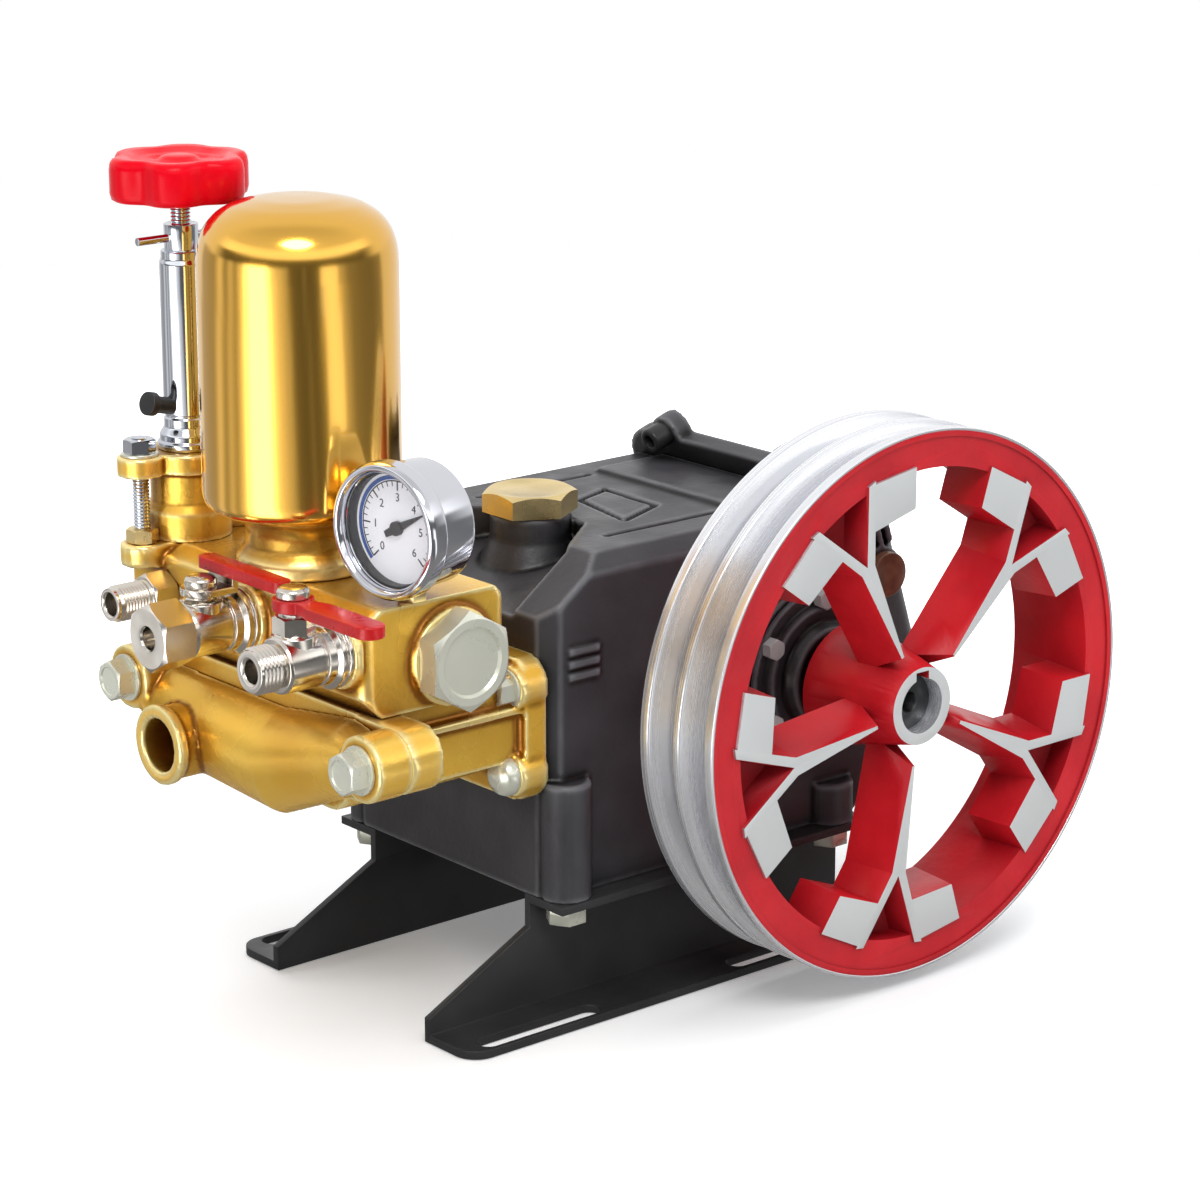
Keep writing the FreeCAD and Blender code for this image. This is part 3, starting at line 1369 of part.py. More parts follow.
def finish_lever(name, cock_y, low, thick, grips):
    """Eye, pin and handle as one piece on the spindle, with the nut that holds it."""
    eye = rod(name + "_eye", S.cock_tower_radius, thick, (0, 0, 0))
    pin = rod(name + "_pin", S.lever_pin_radius, S.lever_pin_depth + S.cut_past, (0, 0, -S.lever_pin_depth))
    lever = union(name + "_lever", [eye, pin] + grips)
    place(lever, (-S.cock_pivot_x, cock_y, low))
    node(lever, name + "_lever")
    cap = rod(name + "_cap", S.lever_cap_radius, S.lever_cap_height, (-S.cock_pivot_x, cock_y, low + thick))
    node(cap, name + "_spindle_nut")


def make_near_lever(low):
    """A flat handle that is narrow at its root, with a rounded end."""
    body = new_body("near_handle")
    root = S.lever_root_width * 0.5
    grip = S.lever_grip_width * 0.5
    length = S.near_lever_length
    taper = S.lever_grip_start - S.lever_strap * 2
    outline = [
        (-root, 0), (-root, -taper), (-grip, -S.lever_grip_start), (-grip, -length),
        (grip, -length), (grip, -S.lever_grip_start), (root, -taper), (root, 0),
    ]
    pad(body, "near_handle_pad", flat_sketch(body, "near_handle_outline", "XY_Plane", outline), S.lever_thick)
    tip = rod("near_handle_end", grip, S.lever_thick, (0, -length, 0))
    finish_lever("near", -S.near_cock_y, low, S.lever_thick, [body, tip])


def make_far_lever(low):
    """A cranked handle: a thin strap steps aside and up to a bar with a long arm and a short tail."""
    half = S.far_lever_width * 0.5
    aside = S.far_lever_aside
    strap = box("far_strap", (0, -S.cock_tower_radius, 0),
                (aside + half, S.cock_tower_radius * 2, S.lever_strap))
    riser = box("far_riser", (aside + half - S.lever_strap, -S.cock_tower_radius, 0),
                (S.lever_strap, S.cock_tower_radius * 2, S.far_lever_step + S.lever_thick))
    bar = box("far_bar", (aside - half, -S.far_lever_length, S.far_lever_step),
              (S.far_lever_width, S.far_lever_length + S.far_lever_tail, S.lever_thick))
    ends = [rod(f"far_bar_end_{index}", half, S.lever_thick, (aside, end_y, S.far_lever_step))
            for index, end_y in enumerate((-S.far_lever_length, S.far_lever_tail))]
    finish_lever("far", S.far_cock_y, low, S.lever_strap, [strap, riser, bar] + ends)


def make_bypass():
    at = (S.bypass_y, BLOCK_TOP + S.bypass_up)
    tip = S.chest_front + S.bypass_length
    spout = rod("bypass_spout", S.bypass_radius, S.bypass_length, (-S.chest_front, *at), "-X")
    nut = prism("bypass_nut", S.bypass_nut_flats, S.bypass_nut_length, (-S.chest_front, *at), "-X")
    bore = rod("bypass_bore", S.cock_bore, S.bypass_length * 0.5, (-tip - S.cut_past, *at), "X")
    node(less("bypass_outlet", union("bypass_solid", [spout, nut]), [bore]), "bypass_outlet")


def write_parts():
    doc.recompute()
    for item in doc.Objects:
        if "Invalid" in item.State or "Error" in item.State:
            raise RuntimeError(f"{item.Name} ({item.Label}): {item.State}")
    for item in NODES:
        shape = item.Shape
        if shape.isNull() or not shape.isValid() or not shape.Solids:
            raise RuntimeError(f"{item.Label}: bad shape")
        print(f"{item.Label:26s} solids {len(shape.Solids):3d} volume {shape.Volume / 1000:9.3f} cm3")
        shape.exportStep(f"parts/{item.Label}.step")


make_rail("near")
make_rail("far")
make_rail_bolts()
make_crankcase()
make_rear_cover()
make_bearing_covers()
make_oil_cap()
make_crankshaft()
make_pulley()
make_cylinder_block()
make_suction_manifold()
make_discharge_manifold()
make_air_chamber()
make_gauge()
make_regulator()
make_cock("near", -S.near_cock_y, S.near_cock_tip, CHEST_TOP + S.near_tower_top)
make_near_lever(CHEST_TOP + S.near_tower_top + S.end_gap)
make_cock("far", S.far_cock_y, S.far_cock_tip, CHEST_TOP - S.far_tower_drop)
make_far_lever(CHEST_TOP - S.far_tower_drop + S.end_gap)
make_bypass()
write_parts()
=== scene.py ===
import bmesh
import bpy
import math
from mathutils import Matrix, Vector


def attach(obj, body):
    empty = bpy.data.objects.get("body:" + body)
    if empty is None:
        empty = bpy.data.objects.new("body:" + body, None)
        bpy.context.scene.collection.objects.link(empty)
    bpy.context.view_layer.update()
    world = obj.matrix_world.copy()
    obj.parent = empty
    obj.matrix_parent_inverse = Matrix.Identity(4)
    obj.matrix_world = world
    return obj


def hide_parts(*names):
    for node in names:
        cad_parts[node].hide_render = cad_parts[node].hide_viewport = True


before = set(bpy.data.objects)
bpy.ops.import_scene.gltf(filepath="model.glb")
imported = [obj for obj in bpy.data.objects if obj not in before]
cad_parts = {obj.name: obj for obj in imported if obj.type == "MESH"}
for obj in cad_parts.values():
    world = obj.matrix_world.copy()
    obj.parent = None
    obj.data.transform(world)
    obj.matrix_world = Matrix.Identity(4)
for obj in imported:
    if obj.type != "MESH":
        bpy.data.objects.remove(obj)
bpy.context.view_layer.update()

scene = bpy.context.scene
MM = 0.001
UP = (0, 0, 1)
FORWARD = (-1, 0, 0)

# Where the pump's main parts sit, in metres from the middle of the base slots

CRANK = Vector((0.075, 0.0, 0.105))
PULLEY_FACE = -0.1155
CHEST_TOP = 0.165
COCK_Z = 0.150

# Camera and studio

EYE = (-0.8193, -0.9927, 0.4984)
LOOK = (0.6227, 0.7332, -0.2733)
LENS_MM = 111.0
SENSOR_MM = 36.0
CAMERA_SIDE = (-0.647, -0.762, 0.0)
ROOM_GREY = (0.42, 0.43, 0.45, 1)
WHITE = (1, 1, 1, 1)

# What polished metal mirrors: (share of the way round from -X, brightness) and (height, brightness)
BANDS = [(0.0, 5.0), (0.045, 5.0), (0.066, 1.6), (0.085, 1.0), (0.108, 0.70), (0.130, 0.17),
         (0.160, 0.13), (0.170, 0.26), (0.182, 0.13), (0.212, 0.18), (0.232, 1.5), (0.268, 1.5),
         (0.285, 0.60), (0.320, 0.28), (0.362, 0.22), (0.400, 0.20), (0.440, 0.28), (0.462, 0.85),
         (0.640, 0.95), (0.765, 0.85), (0.785, 0.50), (0.850, 0.42), (0.880, 0.95), (0.905, 0.38),
         (0.925, 0.80), (0.945, 0.42), (0.965, 1.0), (0.985, 3.0), (1.0, 5.0)]
RINGS = [(0.0, 0.14), (0.10, 0.14), (0.24, 0.16), (0.34, 1.6), (0.46, 1.5), (0.60, 0.90), (1.0, 0.72)]


def set_camera():
    data = bpy.data.cameras.new("photo_camera")
    data.lens = LENS_MM
    data.sensor_width = SENSOR_MM
    camera = bpy.data.objects.new("photo_camera", data)
    scene.collection.objects.link(camera)
    camera.location = EYE
    camera.rotation_euler = Vector(LOOK).to_track_quat("-Z", "Y").to_euler()
    scene.camera = camera


def soft_lamp(name, at, towards, width, height, power, mirrored=False):
    """An area lamp. Only a mirrored one, which is round, shows in polished metal."""
    data = bpy.data.lights.new(name, "AREA")
    data.shape = "ELLIPSE" if mirrored else "RECTANGLE"
    data.size = width
    data.size_y = height
    data.energy = power
    lamp = bpy.data.objects.new(name, data)
    lamp.location = at
    lamp.visible_glossy = mirrored
    lamp.rotation_euler = (Vector(towards) - Vector(at)).to_track_quat("-Z", "Y").to_euler()
    scene.collection.objects.link(lamp)


def add_ramp(tree, value, stops):
    """A soft grey ramp over (position, brightness) stops."""
    node = tree.nodes.new("ShaderNodeValToRGB")
    ramp = node.color_ramp
    ramp.interpolation = "EASE"
    while len(ramp.elements) < len(stops):
        ramp.elements.new(0.5)
    for element, (at, brightness) in zip(ramp.elements, stops):
        element.position = at
        element.color = (brightness, brightness, brightness, 1)
    tree.links.new(value, node.inputs[0])
    return node.outputs[0]


def add_range(tree, value, start, end, low=0.0, high=1.0, kind="LINEAR"):
    """A value mapped from start..end to low..high."""
    node = tree.nodes.new("ShaderNodeMapRange")
    node.interpolation_type = kind
    for name, number in (("From Min", start), ("From Max", end), ("To Min", low), ("To Max", high)):
        node.inputs[name].default_value = number
    tree.links.new(value, node.inputs["Value"])
    return node.outputs[0]


def add_mix(tree, factor, first, second):
    """A mix of two colours, each of them a socket or a plain colour."""
    node = tree.nodes.new("ShaderNodeMix")
    node.data_type = "RGBA"
    tree.links.new(factor, node.inputs["Factor"])
    for name, end in (("A", first), ("B", second)):
        if isinstance(end, tuple):
            node.inputs[name].default_value = end
        else:
            tree.links.new(end, node.inputs[name])
    return node.outputs["Result"]


def add_bands(tree, east, north):
    """Light and dark uprights round the studio, as polished metal shows them, by compass direction."""
    turn = tree.nodes.new("ShaderNodeMath")
    turn.operation = "ARCTAN2"
    tree.links.new(north, turn.inputs[0])
    tree.links.new(east, turn.inputs[1])
    return add_ramp(tree, add_range(tree, turn.outputs[0], -math.pi, math.pi), BANDS)


def set_world():
    """White for the camera, banded for reflections, plain grey for light."""
    world = bpy.data.worlds.new("studio")
    scene.world = world
    world.use_nodes = True
    tree = world.node_tree
    nodes, links = tree.nodes, tree.links
    nodes.clear()
    path = nodes.new("ShaderNodeLightPath")
    where = nodes.new("ShaderNodeTexCoord")
    split = nodes.new("ShaderNodeSeparateXYZ")
    links.new(where.outputs["Generated"], split.inputs[0])
    bands = add_bands(tree, split.outputs["X"], split.outputs["Y"])
    lift = add_range(tree, split.outputs["Z"], 0.05, 0.12)
    rings = add_ramp(tree, split.outputs["Z"], RINGS)
    front = nodes.new("ShaderNodeVectorMath")
    front.operation = "DOT_PRODUCT"
    front.inputs[1].default_value = CAMERA_SIDE
    links.new(where.outputs["Generated"], front.inputs[0])
    side = add_range(tree, front.outputs["Value"], -0.35, 0.10, kind="SMOOTHSTEP")
    above = add_mix(tree, side, (0.95, 0.95, 0.95, 1), rings)
    sky = add_mix(tree, lift, bands, above)
    shine = add_mix(tree, path.outputs["Is Glossy Ray"], ROOM_GREY, sky)
    seen = nodes.new("ShaderNodeMath")
    seen.operation = "MAXIMUM"
    links.new(path.outputs["Is Camera Ray"], seen.inputs[0])
    links.new(path.outputs["Is Transmission Ray"], seen.inputs[1])
    final = add_mix(tree, seen.outputs[0], shine, WHITE)
    back = nodes.new("ShaderNodeBackground")
    links.new(final, back.inputs["Color"])
    out = nodes.new("ShaderNodeOutputWorld")
    links.new(back.outputs[0], out.inputs["Surface"])


def set_floor():
    """A pale disc that fades to the white of the backdrop and keeps the object's shadow."""
    data = bpy.data.meshes.new("floor")
    sides, reach, level = 96, 1.4, -0.0003
    corners = []
    for k in range(sides):
        angle = math.tau * k / sides
        corners.append((reach * math.cos(angle), reach * math.sin(angle), level))
    data.from_pydata(corners, [], [tuple(range(sides))])
    floor = bpy.data.objects.new("floor", data)
    scene.collection.objects.link(floor)
    material = bpy.data.materials.new("floor_pale")
    material.use_nodes = True
    tree = material.node_tree
    nodes, links = tree.nodes, tree.links
    shader = nodes["Principled BSDF"]
    shader.inputs["Base Color"].default_value = (0.93, 0.93, 0.93, 1)
    shader.inputs["Roughness"].default_value = 0.6
    shader.inputs["Specular IOR Level"].default_value = 0.15
    shader.inputs["Emission Color"].default_value = WHITE
    path = nodes.new("ShaderNodeLightPath")
    where = nodes.new("ShaderNodeTexCoord")
    away = nodes.new("ShaderNodeVectorMath")
    away.operation = "LENGTH"
    links.new(where.outputs["Object"], away.inputs[0])
    glow = nodes.new("ShaderNodeMath")
    glow.operation = "MULTIPLY"
    links.new(add_range(tree, away.outputs["Value"], 0.22, 0.62, 0.20, 1.0, "SMOOTHSTEP"), glow.inputs[0])
    links.new(path.outputs["Is Camera Ray"], glow.inputs[1])
    links.new(glow.outputs[0], shader.inputs["Emission Strength"])
    split = nodes.new("ShaderNodeSeparateXYZ")
    links.new(where.outputs["Object"], split.inputs[0])
    mirror = nodes.new("ShaderNodeEmission")
    far = add_range(tree, away.outputs["Value"], 0.28, 0.45, kind="SMOOTHSTEP")
    bands = add_bands(tree, split.outputs["X"], split.outputs["Y"])
    links.new(add_mix(tree, far, (0.26, 0.25, 0.24, 1), bands), mirror.inputs["Color"])
    mix = nodes.new("ShaderNodeMixShader")
    links.new(path.outputs["Is Glossy Ray"], mix.inputs[0])
    links.new(shader.outputs[0], mix.inputs[1])
    links.new(mirror.outputs[0], mix.inputs[2])
    links.new(mix.outputs[0], nodes["Material Output"].inputs["Surface"])
    data.materials.append(material)


# Materials


class Paint:
    """A material under construction: its nodes, with a few short cuts."""

    def __init__(self, name, color, metallic=0.0, roughness=0.5, **sockets):
        self.material = bpy.data.materials.new(name)
        self.material.use_nodes = True
        self.tree = self.material.node_tree
        self.nodes, self.links = self.tree.nodes, self.tree.links
        self.shader = self.nodes["Principled BSDF"]
        self.shader.inputs["Base Color"].default_value = (*color, 1)
        self.shader.inputs["Metallic"].default_value = metallic
        self.shader.inputs["Roughness"].default_value = roughness
        for socket, value in sockets.items():
            self.shader.inputs[socket.replace("_", " ")].default_value = value
        self.place = self.nodes.new("ShaderNodeTexCoord").outputs["Object"]
        self.color = (*color, 1)
        self.height = None

    def vector(self, operation, first, second=None):
        """A vector sum, product or length of a socket and a plain vector."""
        node = self.nodes.new("ShaderNodeVectorMath")
        node.operation = operation
        self.links.new(first, node.inputs[0])
        if second is not None:
            node.inputs[1].default_value = second
        return node.outputs["Value" if operation == "LENGTH" else "Vector"]

    def noise(self, scale, detail=2.0, stretch=None, where=None):
        """Noise over the surface, stretched along an axis where its scale is small."""
        where = where or self.place
        if stretch:
            mapping = self.nodes.new("ShaderNodeMapping")
            mapping.inputs["Scale"].default_value = stretch
            self.links.new(self.place, mapping.inputs["Vector"])
            where = mapping.outputs[0]
        node = self.nodes.new("ShaderNodeTexNoise")
        node.inputs["Scale"].default_value = scale
        node.inputs["Detail"].default_value = detail
        self.links.new(where, node.inputs["Vector"])
        return node.outputs["Fac"]

    def tint(self, value, other, start=0.35, end=0.65):
        """Mix the base colour with another by a value."""
        current = self.shader.inputs["Base Color"]
        before = current.links[0].from_socket if current.is_linked else self.color
        share = add_range(self.tree, value, start, end)
        self.links.new(add_mix(self.tree, share, before, (*other, 1)), current)
        return self

    def gloss(self, value, low, high):
        """Roughness between two levels by a value."""
        self.links.new(add_range(self.tree, value, 0.3, 0.7, low, high), self.shader.inputs["Roughness"])
        return self

    def bump(self, value, depth):
        """Relief of a depth in metres, on top of what is there."""
        node = self.nodes.new("ShaderNodeBump")
        node.inputs["Strength"].default_value = 1.0
        node.inputs["Distance"].default_value = depth
        self.links.new(value, node.inputs["Height"])
        if self.height:
            self.links.new(self.height, node.inputs["Normal"])
        self.height = node.outputs[0]
        self.links.new(self.height, self.shader.inputs["Normal"])
        return self

    def settled(self, shade_color, reach=0.012):
        """Painted shade: darker where the surface lies in a hollow or close to another."""
        shade = self.nodes.new("ShaderNodeAmbientOcclusion")
        shade.samples = 4
        shade.inputs["Distance"].default_value = reach
        return self.tint(shade.outputs["AO"], shade_color, 0.95, 0.25)

    def rubbed(self, shade_color, edge):
        """Darker along inner corners as painted shade, and brighter along edges as painted highlight and wear.
        """
        form = self.nodes.new("ShaderNodeNewGeometry")
        self.tint(form.outputs["Pointiness"], shade_color, 0.498, 0.480)
        return self.tint(form.outputs["Pointiness"], edge, 0.503, 0.528)

    def streaks(self, centre, scale):
        """Fine uneven lines round the Y axis through a centre."""
        away = self.vector("SUBTRACT", self.place, centre)
        split = self.nodes.new("ShaderNodeSeparateXYZ")
        self.links.new(away, split.inputs[0])
        join = self.nodes.new("ShaderNodeCombineXYZ")
        self.links.new(self.vector("LENGTH", self.vector("MULTIPLY", away, (1.0, 0.0, 1.0))), join.inputs["X"])
        self.links.new(split.outputs["Y"], join.inputs["Y"])
        return self.noise(scale, 3.0, where=join.outputs[0])


def make_materials():
    paints = {}

    def paint(name, *settings, **sockets):
        paints[name] = Paint(name, *settings, **sockets)
        return paints[name]

    def metal(name, color, roughness, grain, depth, spread, worn=None, metallic=1.0):
        bare = paint(name, color, metallic, roughness)
        bare.gloss(bare.noise(90.0), roughness - spread * 0.5, roughness + spread)
        if worn:
            bare.tint(bare.noise(45.0), worn, 0.40, 0.85)
        bare.bump(bare.noise(grain), depth)

    case = paint("case_black", (0.033, 0.031, 0.035), 0.0, 0.36, Specular_IOR_Level=0.38)
    case.tint(case.noise(35.0, 3.0), (0.048, 0.046, 0.051))
    # Painted shade in hollows, near other parts and in inner corners; edges lighter as painted highlight and
    # wear.
    case.settled((0.001, 0.001, 0.0015)).rubbed((0.0, 0.0, 0.0), (0.125, 0.125, 0.135))
    case.gloss(case.noise(60.0), 0.29, 0.46)
    case.bump(case.noise(420.0, 3.0), 0.00012).bump(case.noise(1500.0), 0.00004)

    rail = paint("rail_black", (0.024, 0.024, 0.025), 0.0, 0.34, Specular_IOR_Level=0.36)
    rail.tint(rail.noise(25.0, 3.0), (0.036, 0.036, 0.038))
    rail.gloss(rail.noise(70.0), 0.28, 0.46)
    rail.bump(rail.noise(260.0), 0.00006)

    gold = paint("gold", (0.99, 0.61, 0.085), 0.6, 0.26)
    gold.tint(gold.noise(30.0), (0.92, 0.51, 0.055))
    # Painted shade in hollows, near other parts and in inner corners; edges paler as painted highlight and
    # wear.
    gold.settled((0.17, 0.05, 0.003), 0.022).rubbed((0.30, 0.11, 0.006), (1.0, 0.82, 0.36))
    gold.gloss(gold.noise(55.0), 0.18, 0.32)
    gold.bump(gold.noise(520.0, 3.0), 0.00010).bump(gold.noise(1700.0), 0.00003)

    chamber = paint("chamber_gold", (0.86, 0.47, 0.06), 1.0, 0.12, Coat_Weight=0.5, Coat_IOR=1.7,
                    Coat_Roughness=0.05)
    chamber.gloss(chamber.noise(18.0, 4.0, (1, 1, 0.3)), 0.10, 0.19)
    chamber.bump(chamber.noise(240.0, 2.0, (1, 1, 0.15)), 0.00002)

    red = paint("pulley_red", (0.64, 0.014, 0.022), 0.0, 0.36, Specular_IOR_Level=0.35, Coat_Weight=0.12,
                Coat_Roughness=0.2)
    red.tint(red.noise(28.0, 5.0), (0.48, 0.008, 0.016))
    # Painted shade in hollows and near other parts.
    red.settled((0.20, 0.002, 0.006), 0.02)
    red.gloss(red.noise(80.0, 4.0), 0.28, 0.44)
    red.bump(red.noise(360.0, 3.0), 0.00012)

    rim = paint("rim_bright", (0.90, 0.91, 0.94), 0.7, 0.24)
    rim.gloss(rim.streaks(CRANK, 900.0), 0.16, 0.34)
    rim.tint(rim.streaks(CRANK, 260.0), (0.66, 0.67, 0.71), 0.42, 0.70)
    rim.tint(rim.noise(13.0, 3.0), (0.60, 0.56, 0.53), 0.58, 0.72)
    # Painted shade near other parts.
    rim.settled((0.24, 0.25, 0.29), 0.008)
    rim.bump(rim.streaks(CRANK, 700.0), 0.00001)

    metal("block_bare", (0.60, 0.615, 0.61), 0.40, 1500.0, 0.00002, 0.10, metallic=0.15)
    metal("zinc", (0.74, 0.75, 0.64), 0.28, 1200.0, 0.00002, 0.12, (0.68, 0.68, 0.57), 0.6)
    metal("cap_brass", (0.88, 0.68, 0.32), 0.26, 1200.0, 0.00002, 0.12, (0.66, 0.52, 0.26))
    # The shaft steel is made very dark as painted shade inside the hub bore.
    metal("shaft_steel", (0.11, 0.115, 0.115), 0.36, 1000.0, 0.00002, 0.14, (0.05, 0.05, 0.05))
    metal("gauge_chrome", (0.70, 0.71, 0.76), 0.07, 500.0, 0.000003, 0.05)
    metal("chrome", (0.60, 0.62, 0.67), 0.09, 500.0, 0.000004, 0.06)
    metal("nickel", (0.74, 0.70, 0.64), 0.15, 900.0, 0.000012, 0.10, (0.55, 0.49, 0.42))

    # The dial glows faintly: painted light that keeps it white behind the glass.
    dial = paint("dial_white", (0.95, 0.96, 0.99), 0.0, 0.5, Emission_Color=(0.9, 0.93, 1.0, 1),
                 Emission_Strength=0.16)
    dial.gloss(dial.noise(200.0), 0.3, 0.42)
    inks = (("needle_black", (0.012, 0.012, 0.013)), ("dial_blue", (0.02, 0.10, 0.42)),
            ("dial_pink", (0.75, 0.10, 0.12)))
    for name, color in inks:
        ink = paint(name, color, 0.0, 0.4)
        ink.gloss(ink.noise(300.0), 0.35, 0.5)
    glass = paint("glass", (1.0, 1.0, 1.0), 0.0, 0.02, Alpha=0.04, Specular_IOR_Level=1.0)
    glass.gloss(glass.noise(60.0), 0.0, 0.03)

    knob = paint("knob_red", (0.86, 0.0, 0.012), 0.0, 0.20, Specular_IOR_Level=0.14)
    # Painted shade in hollows and near other parts.
    knob.settled((0.20, 0.0, 0.003), 0.014)
    knob.gloss(knob.noise(60.0, 3.0), 0.16, 0.28)
    knob.bump(knob.noise(180.0), 0.00003)
    lever = paint("lever_red", (0.62, 0.008, 0.010), 0.0, 0.28, Specular_IOR_Level=0.3, Coat_Weight=0.15,
                  Coat_Roughness=0.1)
    lever.tint(lever.noise(90.0, 3.0), (0.48, 0.004, 0.006))
    # Painted shade in hollows and near other parts.
    lever.settled((0.20, 0.002, 0.004), 0.008)
    lever.gloss(lever.noise(120.0, 3.0), 0.22, 0.36)
    lever.bump(lever.noise(500.0), 0.00004)
    brown = paint("sight_brown", (0.13, 0.055, 0.03), 0.0, 0.3, Coat_Weight=0.3)
    brown.tint(brown.noise(200.0, 3.0), (0.20, 0.09, 0.045))
    return {name: made.material for name, made in paints.items()}


MATERIALS = make_materials()


# Mesh tools


def settle(name, mesh, materials, body, nodes=(), sharp=32.0):
    """Turn a finished mesh into a piece on its body. Faces of many corners are flat ones."""
    for polygon in mesh.polygons:
        polygon.use_smooth = len(polygon.vertices) < 6
    mesh.set_sharp_from_angle(angle=math.radians(sharp))
    wanted = [MATERIALS[material] for material in materials]
    if list(mesh.materials) != wanted:
        mesh.materials.clear()
        for material in wanted:
            mesh.materials.append(material)
    piece = bpy.data.objects.new(name, mesh)
    scene.collection.objects.link(piece)
    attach(piece, body)
    if nodes:
        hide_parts(*nodes)
    return piece


def applied(mesh, steps):
    """The mesh after a list of modifiers: (type, {setting: value})."""
    carrier = bpy.data.objects.new("carrier", mesh)
    scene.collection.objects.link(carrier)
    for index, (kind, settings) in enumerate(steps):
        modifier = carrier.modifiers.new(f"step_{index}", kind)
        for setting, value in settings.items():
            setattr(modifier, setting, value)
    bpy.context.view_layer.update()
    graph = bpy.context.evaluated_depsgraph_get()
    result = bpy.data.meshes.new_from_object(carrier.evaluated_get(graph))
    bpy.data.objects.remove(carrier)
    return result


def cleaned(node):
    """A copy of a CAD node's mesh with its seams welded and its flats made whole."""
    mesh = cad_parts[node].data.copy()
    work = bmesh.new()
    work.from_mesh(mesh)
    bmesh.ops.remove_doubles(work, verts=work.verts, dist=0.00001)
    bmesh.ops.dissolve_limit(work, angle_limit=math.radians(0.6), verts=work.verts, edges=work.edges)
    work.to_mesh(mesh)
    work.free()
    return mesh


def cast(node, material, voxel, passes, keep):
    """A casting of the pump: the node's form with the soft edges of a mould."""
    steps = [
        ("REMESH", {"mode": "VOXEL", "voxel_size": voxel * MM}),
        ("SMOOTH", {"factor": 0.5, "iterations": passes}),
        ("DECIMATE", {"ratio": keep}),
    ]
    mesh = applied(cleaned(node), steps)
    return settle(node + "_cast", mesh, [material], "pump", (node,), 60.0)


def crisp(node, materials, bevel=0.4, body="pump", pick=None, segments=2, angle=30.0, move=None):
    """A machined or folded piece: the node's form with small even bevels.

    Where it has several materials, pick gives a face its own. move may shift a corner first.
    """
    mesh = cleaned(node)
    bevels = {"width": bevel * MM, "segments": segments, "limit_method": "ANGLE",
              "angle_limit": math.radians(angle), "use_clamp_overlap": True, "miter_outer": "MITER_ARC"}
    mesh.materials.clear()
    for material in materials:
        mesh.materials.append(MATERIALS[material])
    if pick:
        for polygon in mesh.polygons:
            polygon.material_index = pick(polygon)
    if move:
        for vertex in mesh.vertices:
            move(vertex.co)
    mesh = applied(mesh, [("BEVEL", bevels)])
    return settle(node + "_form", mesh, materials, body, (node,), 38.0)


def frame_of(direction):
    """A rotation whose Z axis is the direction."""
    along = Vector(direction).normalized()
    side = Vector(UP).cross(along)
    if side.length < 1e-6:
        side = Vector((1, 0, 0))
    side.normalize()
    return Matrix((side, along.cross(side), along)).transposed()


def skin(name, rings, material, body, at, direction=UP, nodes=(), sharp=32.0):
    """A closed surface over rings of points, given in millimetres about its own axis.

    The ends are capped unless the last ring lies on the first.
    """
    turn = frame_of(direction)
    base = Vector(at)
    verts, faces = [], []
    count = len(rings[0])
    for ring in rings:
        verts += [base + turn @ (Vector(point) * MM) for point in ring]
    for level in range(len(rings) - 1):
        low = level * count
        for index in range(count):
            other = (index + 1) % count
            faces.append((low + index, low + other, low + count + other, low + count + index))
    last = (len(rings) - 1) * count
    if (verts[0] - verts[last]).length > 1e-6:
        faces += [tuple(reversed(range(count))), tuple(range(last, last + count))]
    mesh = bpy.data.meshes.new(name)
    mesh.from_pydata(verts, [], faces)
    work = bmesh.new()
    work.from_mesh(mesh)
    bmesh.ops.remove_doubles(work, verts=work.verts, dist=0.000002)
    bmesh.ops.recalc_face_normals(work, faces=work.faces)
    work.to_mesh(mesh)
    work.free()
    return settle(name, mesh, [material], body, nodes, sharp)


def circle(radius, height, segments=64):
    return [(radius * math.cos(math.tau * k / segments), radius * math.sin(math.tau * k / segments), height)
            for k in range(segments)]


def eased(profile, radius, steps=3):
    """The profile with its corners rounded."""
    out = [profile[0]]
    for before, corner, after in zip(profile, profile[1:], profile[2:]):
        a, b, c = Vector(before), Vector(corner), Vector(after)
        cut = min(radius, (a - b).length * 0.45, (c - b).length * 0.45)
        start = b + (a - b).normalized() * cut
        end = b + (c - b).normalized() * cut
        for step in range(steps + 1):
            t = step / steps
            out.append(tuple(start * (1 - t) ** 2 + b * 2 * t * (1 - t) + end * t ** 2))
    return out + [profile[-1]]


def lathe(name, profile, material, body, at, direction=UP, round_by=0.4, segments=72,
          nodes=(), sharp=32.0):
    """A turned piece from (radius, height) pairs in millimetres."""
    shape = eased(profile, round_by) if round_by else profile
    rings = [circle(max(radius, 0.02), height, segments) for radius, height in shape]
    return skin(name, rings, material, body, at, direction, nodes, sharp)


def thread(start, end, radius, pitch, depth):
    """The profile of a thread between two heights, as turned rings."""
    out = []
    height = start
    while height + pitch <= end + 1e-6:
        out += [(radius - depth, height), (radius - depth, height + pitch * 0.12),
                (radius, height + pitch * 0.45), (radius, height + pitch * 0.6)]
        height += pitch
    return out + [(radius - depth, end)]


HEX_SEGMENTS = 72
FACE_SHARE = 0.97


def hexagon(flats, inset=0.0):
    """A hexagon's outline as (x, y) points, drawn in towards the circle of its face by inset."""
    ring = []
    half = flats * 0.5
    for k in range(HEX_SEGMENTS):
        angle = math.tau * k / HEX_SEGMENTS
        fold = (angle + math.pi / 6) % (math.pi / 3) - math.pi / 6
        reach = half / math.cos(fold)
        reach = reach + (half * FACE_SHARE - reach) * inset
        ring.append((reach * math.cos(angle), reach * math.sin(angle)))
    return ring


